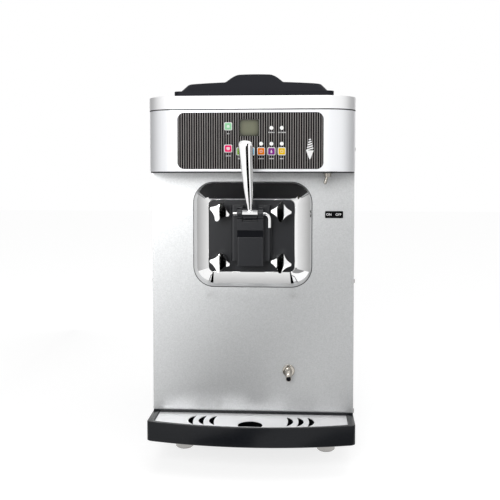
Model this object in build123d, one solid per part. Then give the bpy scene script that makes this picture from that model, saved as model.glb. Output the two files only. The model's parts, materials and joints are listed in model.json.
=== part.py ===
from build123d import *
import math
import os

# A counter-top soft-serve freezer. X runs to the right, Y into the machine, Z up, in millimetres.
# The origin is on the floor, under the middle of the whole outline.

# General fits
running_fit = 0.05
slide_gap = 0.3
seat_gap = 0.5
through = 1.0

# Cabinet of sheet steel
body_width = 380.0
body_depth = 530.0
panel_height = 620.3
sheet = 1.5
foot_height = 45.0
foot_diameter = 36.0
foot_inset = 48.5
foot_setback = 78.0
foot_edge = 3.0
chassis_wall = 3.0
chassis_height = 18.0
post_leg = 25.0
post_wall = 3.0
bulkhead_margin = 40.0
screw_diameter = 4.0
screw_head_diameter = 9.0
screw_head_height = 2.5
screw_head_round = 1.5
screw_setback = 14.0
screw_pitch = 248.0
lowest_screw = 54.0
screws_per_edge = 3
vent_count = 9
vent_pitch = 18.0
vent_height = 7.0
vent_width = 220.0
vent_bottom = 60.0
side_vent_setback = 150.0

# Control head that overhangs the front
head_height = 112.3
head_overhang = 72.0
head_corner = 58.0
head_wall = 3.0
head_edge = 2.0
panel_wide = 260.5
panel_tall = 100.5
panel_corner = 12.0
panel_drop = 57.0
panel_skin = 1.0
board_wide = 240.0
board_tall = 84.0
board_skin = 1.6
board_gap = 10.0
board_boss = 8.0
board_boss_inset = 5.0
key_size = 14.0
key_corner = 2.2
key_proud = 0.8
key_pitch = 18.4
key_travel = 0.7
tact_size = 6.0
tact_height = 4.5
tact_corner = 1.0
left_key_x = -39.0
upper_key_rise = 25.7
lower_key_drop = 13.8
row_key_x = -17.1
row_key_drop = 18.8
lamp_diameter = 6.7
lamp_proud = 0.4
lamp_row_drop = 5.3
lamp_upper_rise = 22.7
display_wide = 34.4
display_corner = 1.5
display_tall = 28.9
display_x = -1.4
display_rise = 23.1

# Top rim, hopper and lid
rim_height = 23.1
rim_overhang = 0.5
rim_wall = 3.0
rim_edge = 1.2
rim_corner = 12.0
hopper_wide = 268.0
hopper_long = 346.0
hopper_deep = 130.0
hopper_wall = 1.5
hopper_flange = 14.0
hopper_corner = 16.0
hopper_setback = 46.0
lid_wide = 305.0
lid_long = 390.0
lid_corner = 12.0
lid_flange = 16.6
lid_step = 9.8
lid_slope_height = 15.4
lid_slope_inset = 14.0
lid_crown_height = 5.3
lid_ridge_height = 15.4
lid_ridge_wide = 111.0
lid_ridge_inset = 27.5
lid_ridge_bow = 0.7
lid_plug = 12.0
lid_plug_gap = 2.0
lid_shell = 4.0

# Freezing cylinder and its drive
axis_height = 390.0
barrel_bore = 52.0
barrel_wall = 2.0
barrel_length = 240.0
barrel_flange_wide = 146.0
barrel_flange_tall = 124.0
barrel_flange_corner = 12.0
barrel_flange = 6.0
barrel_back = 4.0
jacket_skin = 8.0
foam_skin = 22.0
jacket_end = 18.0
port_bore = 9.0
port_wall = 1.5
port_setback = 190.0
feed_tube_height = 95.0
feed_tube_wall = 1.5
feed_collar = 15.0
feed_collar_height = 4.0
shaft_radius = 10.0
beater_shaft = 7.0
beater_disc = 44.0
beater_disc_skin = 6.0
beater_bar = 5.0
beater_bar_inset = 2.0
beater_bars = 2
blade_skin = 3.0
blade_gap = 0.5
seal_skin = 5.0
front_bush_skin = 4.0
front_bush_length = 12.0
front_bush_end = 1.0
drive_plate_skin = 4.0
drive_plate_wide = 230.0
drive_plate_foot = 30.0
drive_plate_top = 62.0
housing_radius = 32.0
housing_length = 36.0
pulley_gap = 14.0
pulley_width = 22.0
pulley_lip = 4.0
pulley_lip_skin = 3.0
driven_radius = 76.0
motor_pulley_radius = 30.0
belt_skin = 5.0
motor_radius = 58.0
motor_length = 150.0
motor_x = 45.0
motor_drop = 193.0
motor_edge = 8.0
motor_shaft_radius = 7.0
motor_shaft_inside = 30.0

# Refrigeration set
compressor_radius = 65.0
compressor_height = 200.0
compressor_dome = 28.0
compressor_x = -104.0
compressor_setback = 104.0
compressor_foot = 130.0
compressor_foot_skin = 4.0
compressor_foot_corner = 14.0
condenser_wide = 270.0
condenser_tall = 250.0
condenser_thick = 44.0
condenser_frame = 8.0
condenser_fin_pitch = 15.0
condenser_fin_skin = 2.0
fan_radius = 98.0
fan_hub = 24.0
fan_depth = 24.0
fan_blades = 5
fan_blade_skin = 2.5
fan_pitch_angle = 28.0
fan_blade_share = 0.85
fan_root_sink = 3.6
fan_tip_gap = 5.0
shroud_depth = 44.0
shroud_skin = 2.0
spoke_width = 8.0
fan_motor_radius = 34.0
fan_motor_length = 44.0
fan_shaft = 4.0
pipe_radius = 4.0
pipe_bend = 20.0
pipe_rise = 24.0
suction_offset = 20.0
suction_x = -80.0

# Dispensing head, its bezel, lever and knobs
bezel_wide = 222.5
bezel_tall = 197.5
bezel_corner = 39.0
bezel_rise = 29.0
bezel_skin = 2.5
opening_wide = 158.0
opening_tall = 132.0
opening_corner = 9.0
spout_plate_rise = 30.0
gasket_skin = 2.0
gasket_ring = 10.0
stud_spread = 111.0
stud_rise = 92.7
stud_diameter = 8.0
stud_tip = 60.0
knob_boss = 13.0
knob_seat = 46.0
knob_hub_length = 6.0
knob_hub = 9.0
knob_reach = 18.5
knob_scoop = 22.0
knob_neck = 12.0
knob_thick = 13.0
knob_edge = 0.8
knob_tilts = (-20.0, -3.0, -10.0, -8.0)
mid_wide = 72.0
mid_rise = 52.0
mid_top = 57.0
mid_bottom = 44.0
mid_edge = 5.0
column_wide = 47.0
column_rise = 70.0
column_bottom = 51.4
column_edge = 2.5
web_top = 28.0
groove_bottom = 1.0
groove_top = 13.0
groove_deep = 6.0
cheek_gap = 28.6
cheek_radius = 10.0
pivot_rise = 66.0
pivot_up = 43.0
pin_radius = 3.0
pin_left = 31.0
pin_right = 34.5
pin_tail = 25.0
pin_bend = 10.0
plunger_radius = 13.0
plunger_bottom = 46.0
plunger_top = 40.0
plunger_slot_gap = 0.6
plunger_slot_side = 6.0
plunger_flare = 12.0
ring_wide = 3.0
ring_deep = 2.0
ring_spread = 36.0
ring_first = 8.0
outlet_bore = 10.0
outlet_drop = 31.0
lever_length = 146.0
lever_lean = 29.0
lever_swing = 57.0
lever_hub = 10.5
lever_hub_wide = 27.0
lever_plate_tall = 7.0
lever_plate_lift = 2.5
lever_plate_reach = 13.0
lever_foot_wide = 10.0
lever_foot_thick = 9.0
lever_low_wide = 14.3
lever_high_wide = 20.2
lever_tip_wide = 25.5
lever_tip_thick = 13.0
lever_tip_shift = -4.0
lever_tip_round = 5.0
lever_edge_share = 0.45
lever_foot_share = 0.03
lever_low_share = 0.25
lever_high_share = 0.6
lever_arm = 26.0
lever_arm_radius = 4.0
lever_ball = 5.0

# Switch, drain, drip tray and gland
toggle_side = 51.0
toggle_forward = 40.0
toggle_thread = 6.5
toggle_bore = 5.3
toggle_out = 9.0
toggle_in = 8.0
toggle_nut = 9.0
toggle_nut_skin = 3.0
toggle_pivot_drop = 3.0
toggle_reach = 17.0
toggle_foot = 2.2
toggle_tip = 3.2
toggle_lean = 15.0
toggle_ball = 5.0
plate_wide = 33.5
plate_tall = 13.0
plate_skin = 1.5
plate_side = 37.5
plate_drop = 79.8
plate_corner = 1.5
drain_side = 121.5
drain_height = 133.0
drain_collar = 11.5
drain_collar_skin = 5.0
drain_tube = 6.5
drain_wall = 1.5
drain_forward = 17.0
drain_fall = 17.6
drain_mouth = 6.8
drain_nut = 10.0
drain_nut_skin = 6.0
tray_height = 36.0
tray_lift = 16.0
tray_corner_reach = 69.0
tray_bow = 25.0
tray_wall = 3.0
tray_rim = 13.0
tray_front_rim = 7.0
tray_back_rim = 3.0
tray_corner = 8.0
tray_gap = 0.5
grid_skin = 1.0
grid_sink = 2.5
tray_ledge = 5.0
crescent_count = 3
crescent_first = 64.3
crescent_pitch = 19.3
crescent_half = 27.5
crescent_outer = 35.0
crescent_inner = 100.0
crescent_forward = 45.5
moon_radius = 22.5
moon_forward = 69.5
moon_flat = 79.0
rail_wide = 30.0
rail_skin = 6.0
rail_spacing = 220.0
rail_reach = 50.0
gland_side = 70.0
gland_height = 295.0
gland_bore = 5.0
gland_thread = 10.0
gland_hex = 13.5
gland_out = 12.0
gland_in = 14.0
gland_nut = 5.0

# Levels and planes worked out from the sizes above
half = body_width / 2
inner = half - sheet
foot_spacing = body_width - 2 * foot_inset
toggle_x = half - toggle_side
plate_x = half - plate_side
drain_x = half - drain_side
gland_x = half - gland_side
tray_wide = body_width
chassis_z = foot_height
chassis_top = chassis_z + chassis_height
floor_z = chassis_z + chassis_wall
deck_z = chassis_z + panel_height
head_z = deck_z - head_height
rim_z = deck_z + rim_height
axis_z = chassis_z + axis_height
lean = math.radians(lever_lean)
lever_reach = pivot_rise + lever_length * math.sin(lean)
lever_reach += (lever_tip_thick / 2 - lever_tip_round / 2) * math.cos(lean)
front_y = (lever_reach - body_depth - gland_out) / 2
rear_y = front_y + body_depth
barrel_outer = barrel_bore + barrel_wall
jacket_outer = barrel_outer + jacket_skin
foam_outer = jacket_outer + foam_skin
bulkhead_back = sheet + post_wall
flange_front = barrel_flange - sheet
spout_back = flange_front + gasket_skin
barrel_end = barrel_length
housing_end = barrel_end + drive_plate_skin + housing_length
pulley_start = housing_end + pulley_gap
pulley_end = pulley_start + pulley_width
motor_z = axis_z - motor_drop
pivot_z = axis_z + pivot_up
panel_z = deck_z - panel_drop
board_face = head_overhang - head_wall - board_gap
swing_half = math.radians(lever_swing / 2)
ball_back = lever_arm * math.cos(swing_half)
ball_drop = lever_arm * math.sin(swing_half)
bore_rise = pivot_rise - lever_arm * (1 + math.cos(swing_half)) / 2
gland_z = chassis_z + gland_height
tray_z = chassis_z + tray_lift
tray_top = tray_z + tray_height
condenser_y = body_depth - sheet - chassis_wall - condenser_thick
condenser_mid = floor_z + condenser_tall / 2
shroud_y = condenser_y - shroud_depth
suction_setback = compressor_setback - suction_offset
compressor_top = floor_z + compressor_foot_skin + compressor_height
hopper_mid = hopper_setback + hopper_long / 2


def ahead(distance):
    """Y of a point this far in front of the front panel's face."""
    return front_y - distance


def behind(distance):
    """Y of a point this far behind the front panel's face."""
    return front_y + distance


def block(x0, x1, y0, y1, z0, z1):
    """A box between two opposite corners, in any order."""
    middle = Pos((x0 + x1) / 2, (y0 + y1) / 2, (z0 + z1) / 2)
    return middle * Box(abs(x1 - x0), abs(y1 - y0), abs(z1 - z0))


def rod_x(radius, x0, x1, y, z):
    """A round bar along X."""
    return Pos((x0 + x1) / 2, y, z) * Rot(0, 90, 0) * Cylinder(radius, abs(x1 - x0))


def rod_y(radius, y0, y1, x, z):
    """A round bar along Y."""
    return Pos(x, (y0 + y1) / 2, z) * Rot(90, 0, 0) * Cylinder(radius, abs(y1 - y0))


def rod_z(radius, z0, z1, x, y):
    """A round bar along Z."""
    return Pos(x, y, (z0 + z1) / 2) * Cylinder(radius, abs(z1 - z0))


def upright(wide, tall, corner, y0, y1, x, z):
    """A plate facing the front, with round corners, from y0 back to y1."""
    face = Plane((x, y1, z), x_dir=(1, 0, 0), z_dir=(0, -1, 0)) * RectangleRounded(wide, tall, corner)
    return extrude(face, y1 - y0)


def level(wide, long, corner, z0, z1, x, y):
    """A plate lying flat, with round corners, from z0 up to z1."""
    face = Pos(x, y, z0) * RectangleRounded(wide, long, corner)
    return extrude(face, z1 - z0)


def upright_face(wide, tall, corner, y, z):
    """The outline of a rounded opening that faces the front."""
    return Plane((0, y, z), x_dir=(1, 0, 0), z_dir=(0, -1, 0)) * RectangleRounded(wide, tall, corner)


def stud_places():
    """Centres of the four studs that hold the dispensing head, as X and Z."""
    sides = (-stud_spread / 2, stud_spread / 2)
    rises = (axis_z + stud_rise / 2, axis_z - stud_rise / 2)
    return [(x, z) for z in rises for x in sides]


def screw_places():
    """Centres of the side screws, as side, Y and Z."""
    edges = (behind(screw_setback), rear_y - screw_setback)
    levels = [chassis_z + lowest_screw + row * screw_pitch for row in range(screws_per_edge)]
    return [(side, y, z) for side in (-1, 1) for y in edges for z in levels]


def vent_levels():
    """Heights of the air slots in the side and rear panels."""
    return [chassis_z + vent_bottom + row * vent_pitch for row in range(vent_count)]


# Cabinet

def chassis_base():
    """Folded steel floor with an upstand all round and two rails for the drip tray."""
    back = rear_y - sheet
    shape = block(-inner, inner, behind(sheet), back, chassis_z, chassis_top)
    wall = inner - chassis_wall
    front_wall = behind(sheet + chassis_wall)
    shape -= block(-wall, wall, front_wall, back - chassis_wall, floor_z, chassis_top + through)
    for x in (-rail_spacing / 2, rail_spacing / 2):
        left = x - rail_wide / 2
        shape += block(left, left + rail_wide, ahead(rail_reach), front_wall, tray_z - rail_skin, tray_z)
    return shape


def feet():
    """Four round turned feet under the chassis."""
    solids = []
    for x in (-foot_spacing / 2, foot_spacing / 2):
        for y in (behind(foot_setback), rear_y - foot_setback):
            foot = rod_z(foot_diameter / 2, 0, foot_height, x, y)
            rims = foot.edges().filter_by(GeomType.CIRCLE).group_by(Axis.Z)[0]
            solids.append(chamfer(rims, foot_edge))
    return Compound(solids)


def body_frame():
    """Welded frame: corner angles, a ring under the deck and the bulkhead behind the front panel."""
    back = rear_y - sheet
    shape = block(-inner, inner, behind(sheet), back, deck_z - post_leg, deck_z)
    core = inner - post_wall
    low = deck_z - post_leg - through
    shape -= block(-core, core, behind(bulkhead_back), back - post_wall, low, deck_z + through)
    for side in (-1, 1):
        for start, turn in ((behind(sheet), 1), (back, -1)):
            edge = side * inner
            top = deck_z - post_leg
            leg = block(edge, edge - side * post_wall, start, start + turn * post_leg, chassis_top, top)
            web = block(edge, edge - side * post_leg, start, start + turn * post_wall, chassis_top, top)
            shape += leg + web
    reach = bezel_tall / 2 + bulkhead_margin
    plate = block(-inner, inner, behind(sheet), behind(bulkhead_back), axis_z - reach, axis_z + reach)
    shape += plate
    shape -= rod_y(barrel_outer + slide_gap, behind(0), behind(bulkhead_back + through), 0, axis_z)
    for side, y, z in screw_places():
        shape -= screw_hole(side, y, z)
    return shape


def screw_hole(side, y, z):
    """Clearance hole for one side screw."""
    return rod_x(screw_diameter / 2 + running_fit, side * (half + through), side * (half - post_leg), y, z)


def drain_hole(y0, y1):
    """Hole for the drain tube through the front of the cabinet."""
    return rod_y(drain_tube + slide_gap, y0, y1, drain_x, chassis_z + drain_height)


def front_panel():
    """Satin steel front, with openings for the head, the drain and the tray rails."""
    shape = block(-half, half, front_y, behind(sheet), chassis_z, deck_z)
    wide = barrel_flange_wide + 2 * seat_gap
    tall = barrel_flange_tall + 2 * seat_gap
    y0 = ahead(through)
    y1 = behind(sheet + through)
    shape -= upright(wide, tall, barrel_flange_corner + seat_gap, y0, y1, 0, axis_z)
    shape -= drain_hole(y0, y1)
    for x in (-rail_spacing / 2, rail_spacing / 2):
        left = x - rail_wide / 2 - seat_gap
        right = x + rail_wide / 2 + seat_gap
        shape -= block(left, right, y0, y1, tray_z - rail_skin - seat_gap, tray_z + seat_gap)
    return shape


def side_panel(side):
    """Painted steel side, screwed to the frame, with air slots low down."""
    shape = block(side * half, side * inner, behind(sheet), rear_y - sheet, chassis_z, deck_z)
    outside = side * (half + through)
    inside = side * (inner - through)
    start = behind(side_vent_setback)
    for z in vent_levels():
        shape -= block(outside, inside, start, start + vent_width, z, z + vent_height)
    for s, y, z in screw_places():
        if s == side:
            shape -= screw_hole(side, y, z)
    return shape


def rear_panel():
    """Steel back with the condenser's air slots and the hole for the cord gland."""
    shape = block(-half, half, rear_y - sheet, rear_y, chassis_z, deck_z)
    y0 = rear_y - sheet - through
    y1 = rear_y + through
    for z in vent_levels():
        shape -= block(-vent_width / 2, vent_width / 2, y0, y1, z, z + vent_height)
    return shape - rod_y(gland_thread + slide_gap, y0, y1, gland_x, gland_z)


def panel_screws():
    """Pan-head screws along the front and rear edges of both side panels."""
    solids = []
    for side, y, z in screw_places():
        head = rod_x(screw_head_diameter / 2, side * half, side * (half + screw_head_height), y, z)
        rim = head.edges().filter_by(GeomType.CIRCLE).sort_by(Axis.X)[-1 if side > 0 else 0]
        head = fillet(rim, screw_head_round)
        solids.append(head + rod_x(screw_diameter / 2, side * half, side * (inner - post_wall), y, z))
    return Compound(solids)


# Control head

def key_places():
    """Name and centre of each key, as X and Z: two on the left and five in a row."""
    places = {"mint_key": (left_key_x, panel_z + upper_key_rise)}
    places["magenta_key"] = (left_key_x, panel_z - lower_key_drop)
    for column, colour in enumerate(("lime", "blue", "orange", "purple", "yellow")):
        places[colour + "_key"] = (row_key_x + column * key_pitch, panel_z - row_key_drop)
    return places


def lamp_places():
    """Centres of the lamps: three over the last three keys of the row, two higher up."""
    lower = [(row_key_x + column * key_pitch, panel_z - lamp_row_drop) for column in (2, 3, 4)]
    upper = [(row_key_x + column * key_pitch, panel_z + lamp_upper_rise) for column in (3, 4)]
    return lower + upper


def control_windows():
    """Everything that is cut through the overlay and the wall behind it."""
    front = ahead(head_overhang + through)
    back = ahead(head_overhang - head_wall - through)
    side = key_size + 2 * slide_gap
    cuts = [upright(side, side, key_corner, front, back, x, z) for x, z in key_places().values()]
    cuts += [rod_y(lamp_diameter / 2 + slide_gap, front, back, x, z) for x, z in lamp_places()]
    wide = display_wide + 2 * slide_gap
    tall = display_tall + 2 * slide_gap
    cuts.append(upright(wide, tall, display_corner, front, back, display_x, panel_z + display_rise))
    return cuts


def overhang_plan(shrink, z0, z1):
    """The head's outline in plan, drawn in by a wall, as a block in front of the front panel."""
    wide = body_width - 2 * shrink
    deep = head_overhang - shrink
    shape = level(wide, 2 * deep, head_corner - shrink, z0, z1, 0, front_y)
    return shape - block(-body_width, body_width, front_y, behind(body_width), z0 - through, z1 + through)


def board_corners():
    """Centres of the four bosses that carry the control board, as X and Z."""
    x = board_wide / 2 - board_boss_inset
    z = board_tall / 2 - board_boss_inset
    return [(i * x, panel_z + j * z) for i in (-1, 1) for j in (-1, 1)]


def head_cover():
    """Moulded pearl cover of the control head, open to the cabinet behind it."""
    shape = overhang_plan(0, head_z, deck_z)
    lower = shape.edges().group_by(Axis.Z)[0].sort_by(Axis.Y)[:-1]
    shape = fillet(lower, head_edge)
    shape -= overhang_plan(head_wall, head_z + head_wall, deck_z + through)
    inside = ahead(head_overhang - head_wall)
    for x, z in board_corners():
        shape += rod_y(board_boss / 2, inside, ahead(board_face), x, z)
    wide = panel_wide + 2 * slide_gap
    tall = panel_tall + 2 * slide_gap
    front = ahead(head_overhang + through)
    floor = ahead(head_overhang - panel_skin)
    shape -= upright(wide, tall, panel_corner + slide_gap, front, floor, 0, panel_z)
    for cut in control_windows():
        shape -= cut
    hole = toggle_thread + running_fit
    y = ahead(toggle_forward)
    return shape - rod_z(hole, head_z - through, head_z + head_wall + through, toggle_x, y)


def control_overlay():
    """Printed skin of the control panel, with windows for the keys, lamps and display."""
    face = ahead(head_overhang)
    shape = upright(panel_wide, panel_tall, panel_corner, face, face + panel_skin, 0, panel_z)
    for cut in control_windows():
        shape -= cut
    return shape


def key(x, z):
    """One square push key, guided by its window in front of a switch on the board."""
    back = ahead(board_face + tact_height + key_travel + slide_gap)
    return upright(key_size, key_size, key_corner, ahead(head_overhang + key_proud), back, x, z)


def control_board():
    """Circuit board on the cover's bosses, with a small switch behind each key."""
    face = ahead(board_face)
    shape = block(-board_wide / 2, board_wide / 2, face, face + board_skin,
                  panel_z - board_tall / 2, panel_z + board_tall / 2)
    for x, z in key_places().values():
        shape += upright(tact_size, tact_size, tact_corner, face - tact_height, face, x, z)
    return shape


def display_window():
    """Liquid crystal module standing on the board, its glass flush with the overlay."""
    z = panel_z + display_rise
    return upright(display_wide, display_tall, display_corner, ahead(head_overhang), ahead(board_face),
                   display_x, z)


def indicator_lamps():
    """Five round lamp lenses standing on the board."""
    tip = ahead(head_overhang + lamp_proud)
    return Compound([rod_y(lamp_diameter / 2, tip, ahead(board_face), x, z) for x, z in lamp_places()])


# Top rim, hopper and lid

def rim_plan(shrink, z0, z1):
    """Outline of the top rim: round corners over the control head, tighter ones at the back."""
    front = ahead(head_overhang + rim_overhang - shrink)
    back = rear_y + rim_overhang - shrink
    wide = body_width + 2 * (rim_overhang - shrink)
    whole = level(wide, back - front, head_corner - shrink, z0, z1, 0, (front + back) / 2)
    start = behind(body_depth / 2)
    return whole + level(wide, back - start, rim_corner - shrink, z0, z1, 0, (start + back) / 2)


def top_rim():
    """Silver rim and deck that close the cabinet and carry the hopper."""
    shape = rim_plan(0, deck_z, rim_z)
    shape = fillet(shape.edges().group_by(Axis.Z)[-1], rim_edge)
    shape -= rim_plan(rim_wall, deck_z - through, rim_z - rim_wall)
    wide = hopper_wide + 2 * hopper_wall + 2 * seat_gap
    long = hopper_long + 2 * hopper_wall + 2 * seat_gap
    corner = hopper_corner + hopper_wall
    return shape - level(wide, long, corner, deck_z, rim_z + through, 0, behind(hopper_mid))


def hopper_tank():
    """Pressed steel mix tank, hung by its flange, with the port that feeds the freezing cylinder."""
    middle = behind(hopper_mid)
    bottom = rim_z - hopper_deep
    wide = hopper_wide + 2 * hopper_wall
    long = hopper_long + 2 * hopper_wall
    shape = level(wide, long, hopper_corner + hopper_wall, bottom - hopper_wall, rim_z, 0, middle)
    wide = hopper_wide + 2 * hopper_flange
    long = hopper_long + 2 * hopper_flange
    shape += level(wide, long, hopper_corner + hopper_flange / 2, rim_z, rim_z + hopper_wall, 0, middle)
    mouth = rim_z + hopper_wall + through
    shape -= level(hopper_wide, hopper_long, hopper_corner, bottom, mouth, 0, middle)
    y = behind(port_setback)
    shape += rod_z(port_bore + port_wall, axis_z + barrel_bore, bottom, 0, y)
    shape -= rod_z(port_bore, axis_z, bottom + through, 0, y)
    return shape - rod_y(barrel_outer + slide_gap, y - hopper_wide, y + hopper_wide, 0, axis_z)


def feed_tube():
    """Loose tube that meters mix and air, standing in the port on its collar."""
    y = behind(port_setback)
    seat = rim_z - hopper_deep
    radius = port_bore - slide_gap
    low = seat - feed_collar
    high = seat + feed_tube_height
    shape = rod_z(radius, low, high, 0, y)
    shape += rod_z(feed_collar, seat, seat + feed_collar_height, 0, y)
    shape -= rod_z(radius - feed_tube_wall, low - through, high + through, 0, y)
    hole = seat + 2 * feed_collar_height
    return shape - rod_x(feed_tube_wall, -feed_collar, feed_collar, y, hole)


def stepped(sizes, z0, z1):
    """A block that narrows from one rounded outline to another, over the hopper's middle."""
    faces = []
    for (wide, long, corner), z in zip(sizes, (z0, z1)):
        faces.append(Pos(0, behind(hopper_mid), z) * RectangleRounded(wide, long, corner))
    return loft(faces, ruled=True)


def lid_crown(x, shoulder):
    """Height of the lid's arched crown at one place across its width."""
    span = lid_wide / 2 - lid_step - lid_slope_inset
    return shoulder + lid_crown_height * (1 - (x / span) ** 2)


def lid_section(foot_z, shoulder):
    """The lid's cross-section above its step: an arched crown and a raised grip with curved flanks."""
    side = lid_wide / 2
    base = lid_ridge_wide / 2
    brow = base - lid_ridge_inset
    middle = (side + base) / 2
    side_z = lid_crown(side, shoulder)
    base_z = lid_crown(base, shoulder)
    middle_z = lid_crown(middle, shoulder)
    top = shoulder + lid_crown_height + lid_ridge_height
    edges = [Polyline((-side, side_z), (-side, foot_z), (side, foot_z), (side, side_z))]
    edges.append(ThreePointArc((side, side_z), (middle, middle_z), (base, base_z)))
    edges.append(Spline((base, base_z), (brow, top), tangents=((-1, 1), (-1, 0))))
    edges.append(ThreePointArc((brow, top), (0, top + lid_ridge_bow), (-brow, top)))
    edges.append(Spline((-brow, top), (-base, base_z), tangents=((-1, 0), (-1, -1))))
    edges.append(ThreePointArc((-base, base_z), (-middle, middle_z), (-side, side_z)))
    back = Plane((0, behind(hopper_mid) + lid_long / 2, 0), x_dir=(1, 0, 0), z_dir=(0, -1, 0))
    return extrude(back * make_face(edges), lid_long)


def hopper_lid():
    """Black moulded lid: upright flange, sloping sides above a step, arched crown and raised grip."""
    seat = rim_z + hopper_wall
    step_z = seat + lid_flange
    shoulder = step_z + lid_slope_height
    rise = lid_slope_height + lid_crown_height + lid_ridge_height + lid_ridge_bow + through
    inset = rise * lid_slope_inset / lid_slope_height
    foot = (lid_wide - 2 * lid_step, lid_long - 2 * lid_step, lid_corner)
    peak = (foot[0] - 2 * inset, foot[1] - 2 * inset, lid_corner)
    shape = stepped((foot, peak), step_z, step_z + rise) & lid_section(step_z, shoulder)
    shape += level(lid_wide, lid_long, lid_corner, seat, step_z, 0, behind(hopper_mid))
    wide = hopper_wide - 2 * lid_plug_gap
    long = hopper_long - 2 * lid_plug_gap
    shape += level(wide, long, hopper_corner, seat - lid_plug, seat, 0, behind(hopper_mid))
    wide -= 2 * lid_shell
    long -= 2 * lid_shell
    roof = shoulder - lid_shell
    return shape - level(wide, long, hopper_corner, seat - lid_plug - through, roof, 0, behind(hopper_mid))


# Freezing cylinder and drive

def freezing_cylinder():
    """Steel barrel with a square front flange and a back wall for the shaft seal."""
    front = ahead(flange_front)
    shape = upright(barrel_flange_wide, barrel_flange_tall, barrel_flange_corner, front, behind(sheet),
                    0, axis_z)
    shape += rod_y(barrel_outer, front, behind(barrel_end), 0, axis_z)
    shape -= rod_y(barrel_bore, front - through, behind(barrel_end - barrel_back), 0, axis_z)
    shape -= rod_y(shaft_radius + seal_skin, behind(0), behind(barrel_end + through), 0, axis_z)
    return shape - rod_z(port_bore, axis_z, axis_z + barrel_outer + through, 0, behind(port_setback))


def barrel_sleeve(inside, outside):
    """A sleeve round the barrel, pierced for the mix port and the suction pipe."""
    front = behind(bulkhead_back + jacket_end)
    back = behind(barrel_end - jacket_end)
    shape = rod_y(outside, front, back, 0, axis_z)
    shape -= rod_y(inside, front - through, back + through, 0, axis_z)
    gap = port_bore + port_wall + slide_gap
    return shape - rod_z(gap, axis_z, axis_z + outside + through, 0, behind(port_setback))


def evaporator_jacket():
    """Copper evaporator wrapped round the barrel."""
    return barrel_sleeve(barrel_outer + slide_gap, jacket_outer)


def barrel_foam():
    """Foam insulation round the evaporator."""
    shape = barrel_sleeve(jacket_outer + slide_gap, foam_outer)
    hole = pipe_radius + slide_gap
    return shape - rod_z(hole, axis_z - foam_outer - through, axis_z, 0, behind(suction_setback))


def drive_plate():
    """Upright plate that carries the back of the barrel, the bearing and the motor."""
    x0 = motor_x / 2 - drive_plate_wide / 2
    x1 = x0 + drive_plate_wide
    front = behind(barrel_end)
    back = front + drive_plate_skin
    shape = block(x0, x1, front, back, floor_z, axis_z + drive_plate_top)
    shape += block(x0, x1, front, front + drive_plate_foot, floor_z, floor_z + drive_plate_skin)
    shape -= rod_y(shaft_radius + seal_skin, front - through, back + through, 0, axis_z)
    return shape - rod_y(motor_shaft_radius + seat_gap, front - through, back + through, motor_x, motor_z)


def bearing_housing():
    """Round housing on the drive plate that guides the drive shaft."""
    start = behind(barrel_end + drive_plate_skin)
    end = behind(housing_end)
    shape = rod_y(housing_radius, start, end, 0, axis_z)
    return shape - rod_y(shaft_radius + running_fit, start - through, end + through, 0, axis_z)


def shaft_seal():
    """Lip seal in the back wall of the barrel."""
    front = behind(barrel_end - barrel_back)
    back = behind(barrel_end)
    shape = rod_y(shaft_radius + seal_skin - running_fit, front, back, 0, axis_z)
    return shape - rod_y(shaft_radius + running_fit, front - through, back + through, 0, axis_z)


def front_bush():
    """Plain bush in the dispensing head that guides the front of the beater."""
    back = ahead(spout_back)
    front = back - front_bush_length
    shape = rod_y(beater_shaft + front_bush_skin - running_fit, front, back, 0, axis_z)
    return shape - rod_y(beater_shaft + running_fit, front - through, back + through, 0, axis_z)


def beater_ends():
    """Y of the beater's front and rear faces inside the barrel."""
    return behind(beater_disc_skin), behind(barrel_end - barrel_back - seat_gap)


def beater():
    """Open beater: a shaft, two end discs and bars that carry the scraper blades."""
    front, back = beater_ends()
    shape = rod_y(beater_shaft, ahead(spout_back + front_bush_length - front_bush_end), back, 0, axis_z)
    shape += rod_y(beater_disc, front, front + beater_disc_skin, 0, axis_z)
    shape += rod_y(beater_disc, back - beater_disc_skin, back, 0, axis_z)
    reach = beater_disc - beater_bar - beater_bar_inset
    for bar in range(beater_bars):
        turn = 2 * math.pi * bar / beater_bars
        shape += rod_y(beater_bar, front, back, reach * math.cos(turn), axis_z + reach * math.sin(turn))
    return shape


def scraper_blades():
    """Plastic blades on the beater's bars that scrape the barrel."""
    front, back = beater_ends()
    solids = []
    tip = barrel_bore - blade_gap
    for bar in range(beater_bars):
        blade = block(beater_disc, tip, front, back, -blade_skin / 2, blade_skin / 2)
        solids.append(Pos(0, 0, axis_z) * Rot(0, -360 * bar / beater_bars, 0) * blade)
    return Compound(solids)


def drive_shaft():
    """Shaft from the beater through the seal and the bearing to the pulley."""
    return rod_y(shaft_radius, beater_ends()[1], behind(pulley_end), 0, axis_z)


def pulley(radius, bore, x, z):
    """Flanged belt pulley with a plain bore."""
    start = behind(pulley_start)
    end = behind(pulley_end)
    shape = rod_y(radius, start, end, x, z)
    shape += rod_y(radius + pulley_lip, start, start + pulley_lip_skin, x, z)
    shape += rod_y(radius + pulley_lip, end - pulley_lip_skin, end, x, z)
    return shape - rod_y(bore + running_fit, start - through, end + through, x, z)


def small_pulley():
    """Pulley on the gear motor's shaft."""
    return pulley(motor_pulley_radius, motor_shaft_radius, motor_x, motor_z)


def drive_belt():
    """Flat belt round both pulleys, between their flanges."""
    start = behind(pulley_start + pulley_lip_skin + seat_gap)
    end = behind(pulley_end - pulley_lip_skin - seat_gap)
    loops = []
    for skin in (slide_gap + belt_skin, slide_gap):
        large = Pos(0, axis_z) * Circle(driven_radius + skin)
        small = Pos(motor_x, motor_z) * Circle(motor_pulley_radius + skin)
        loops.append(make_hull(large.edges() + small.edges()))
    face = Plane((0, end, 0), x_dir=(1, 0, 0), z_dir=(0, -1, 0)) * (loops[0] - loops[1])
    return extrude(face, end - start)


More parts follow.
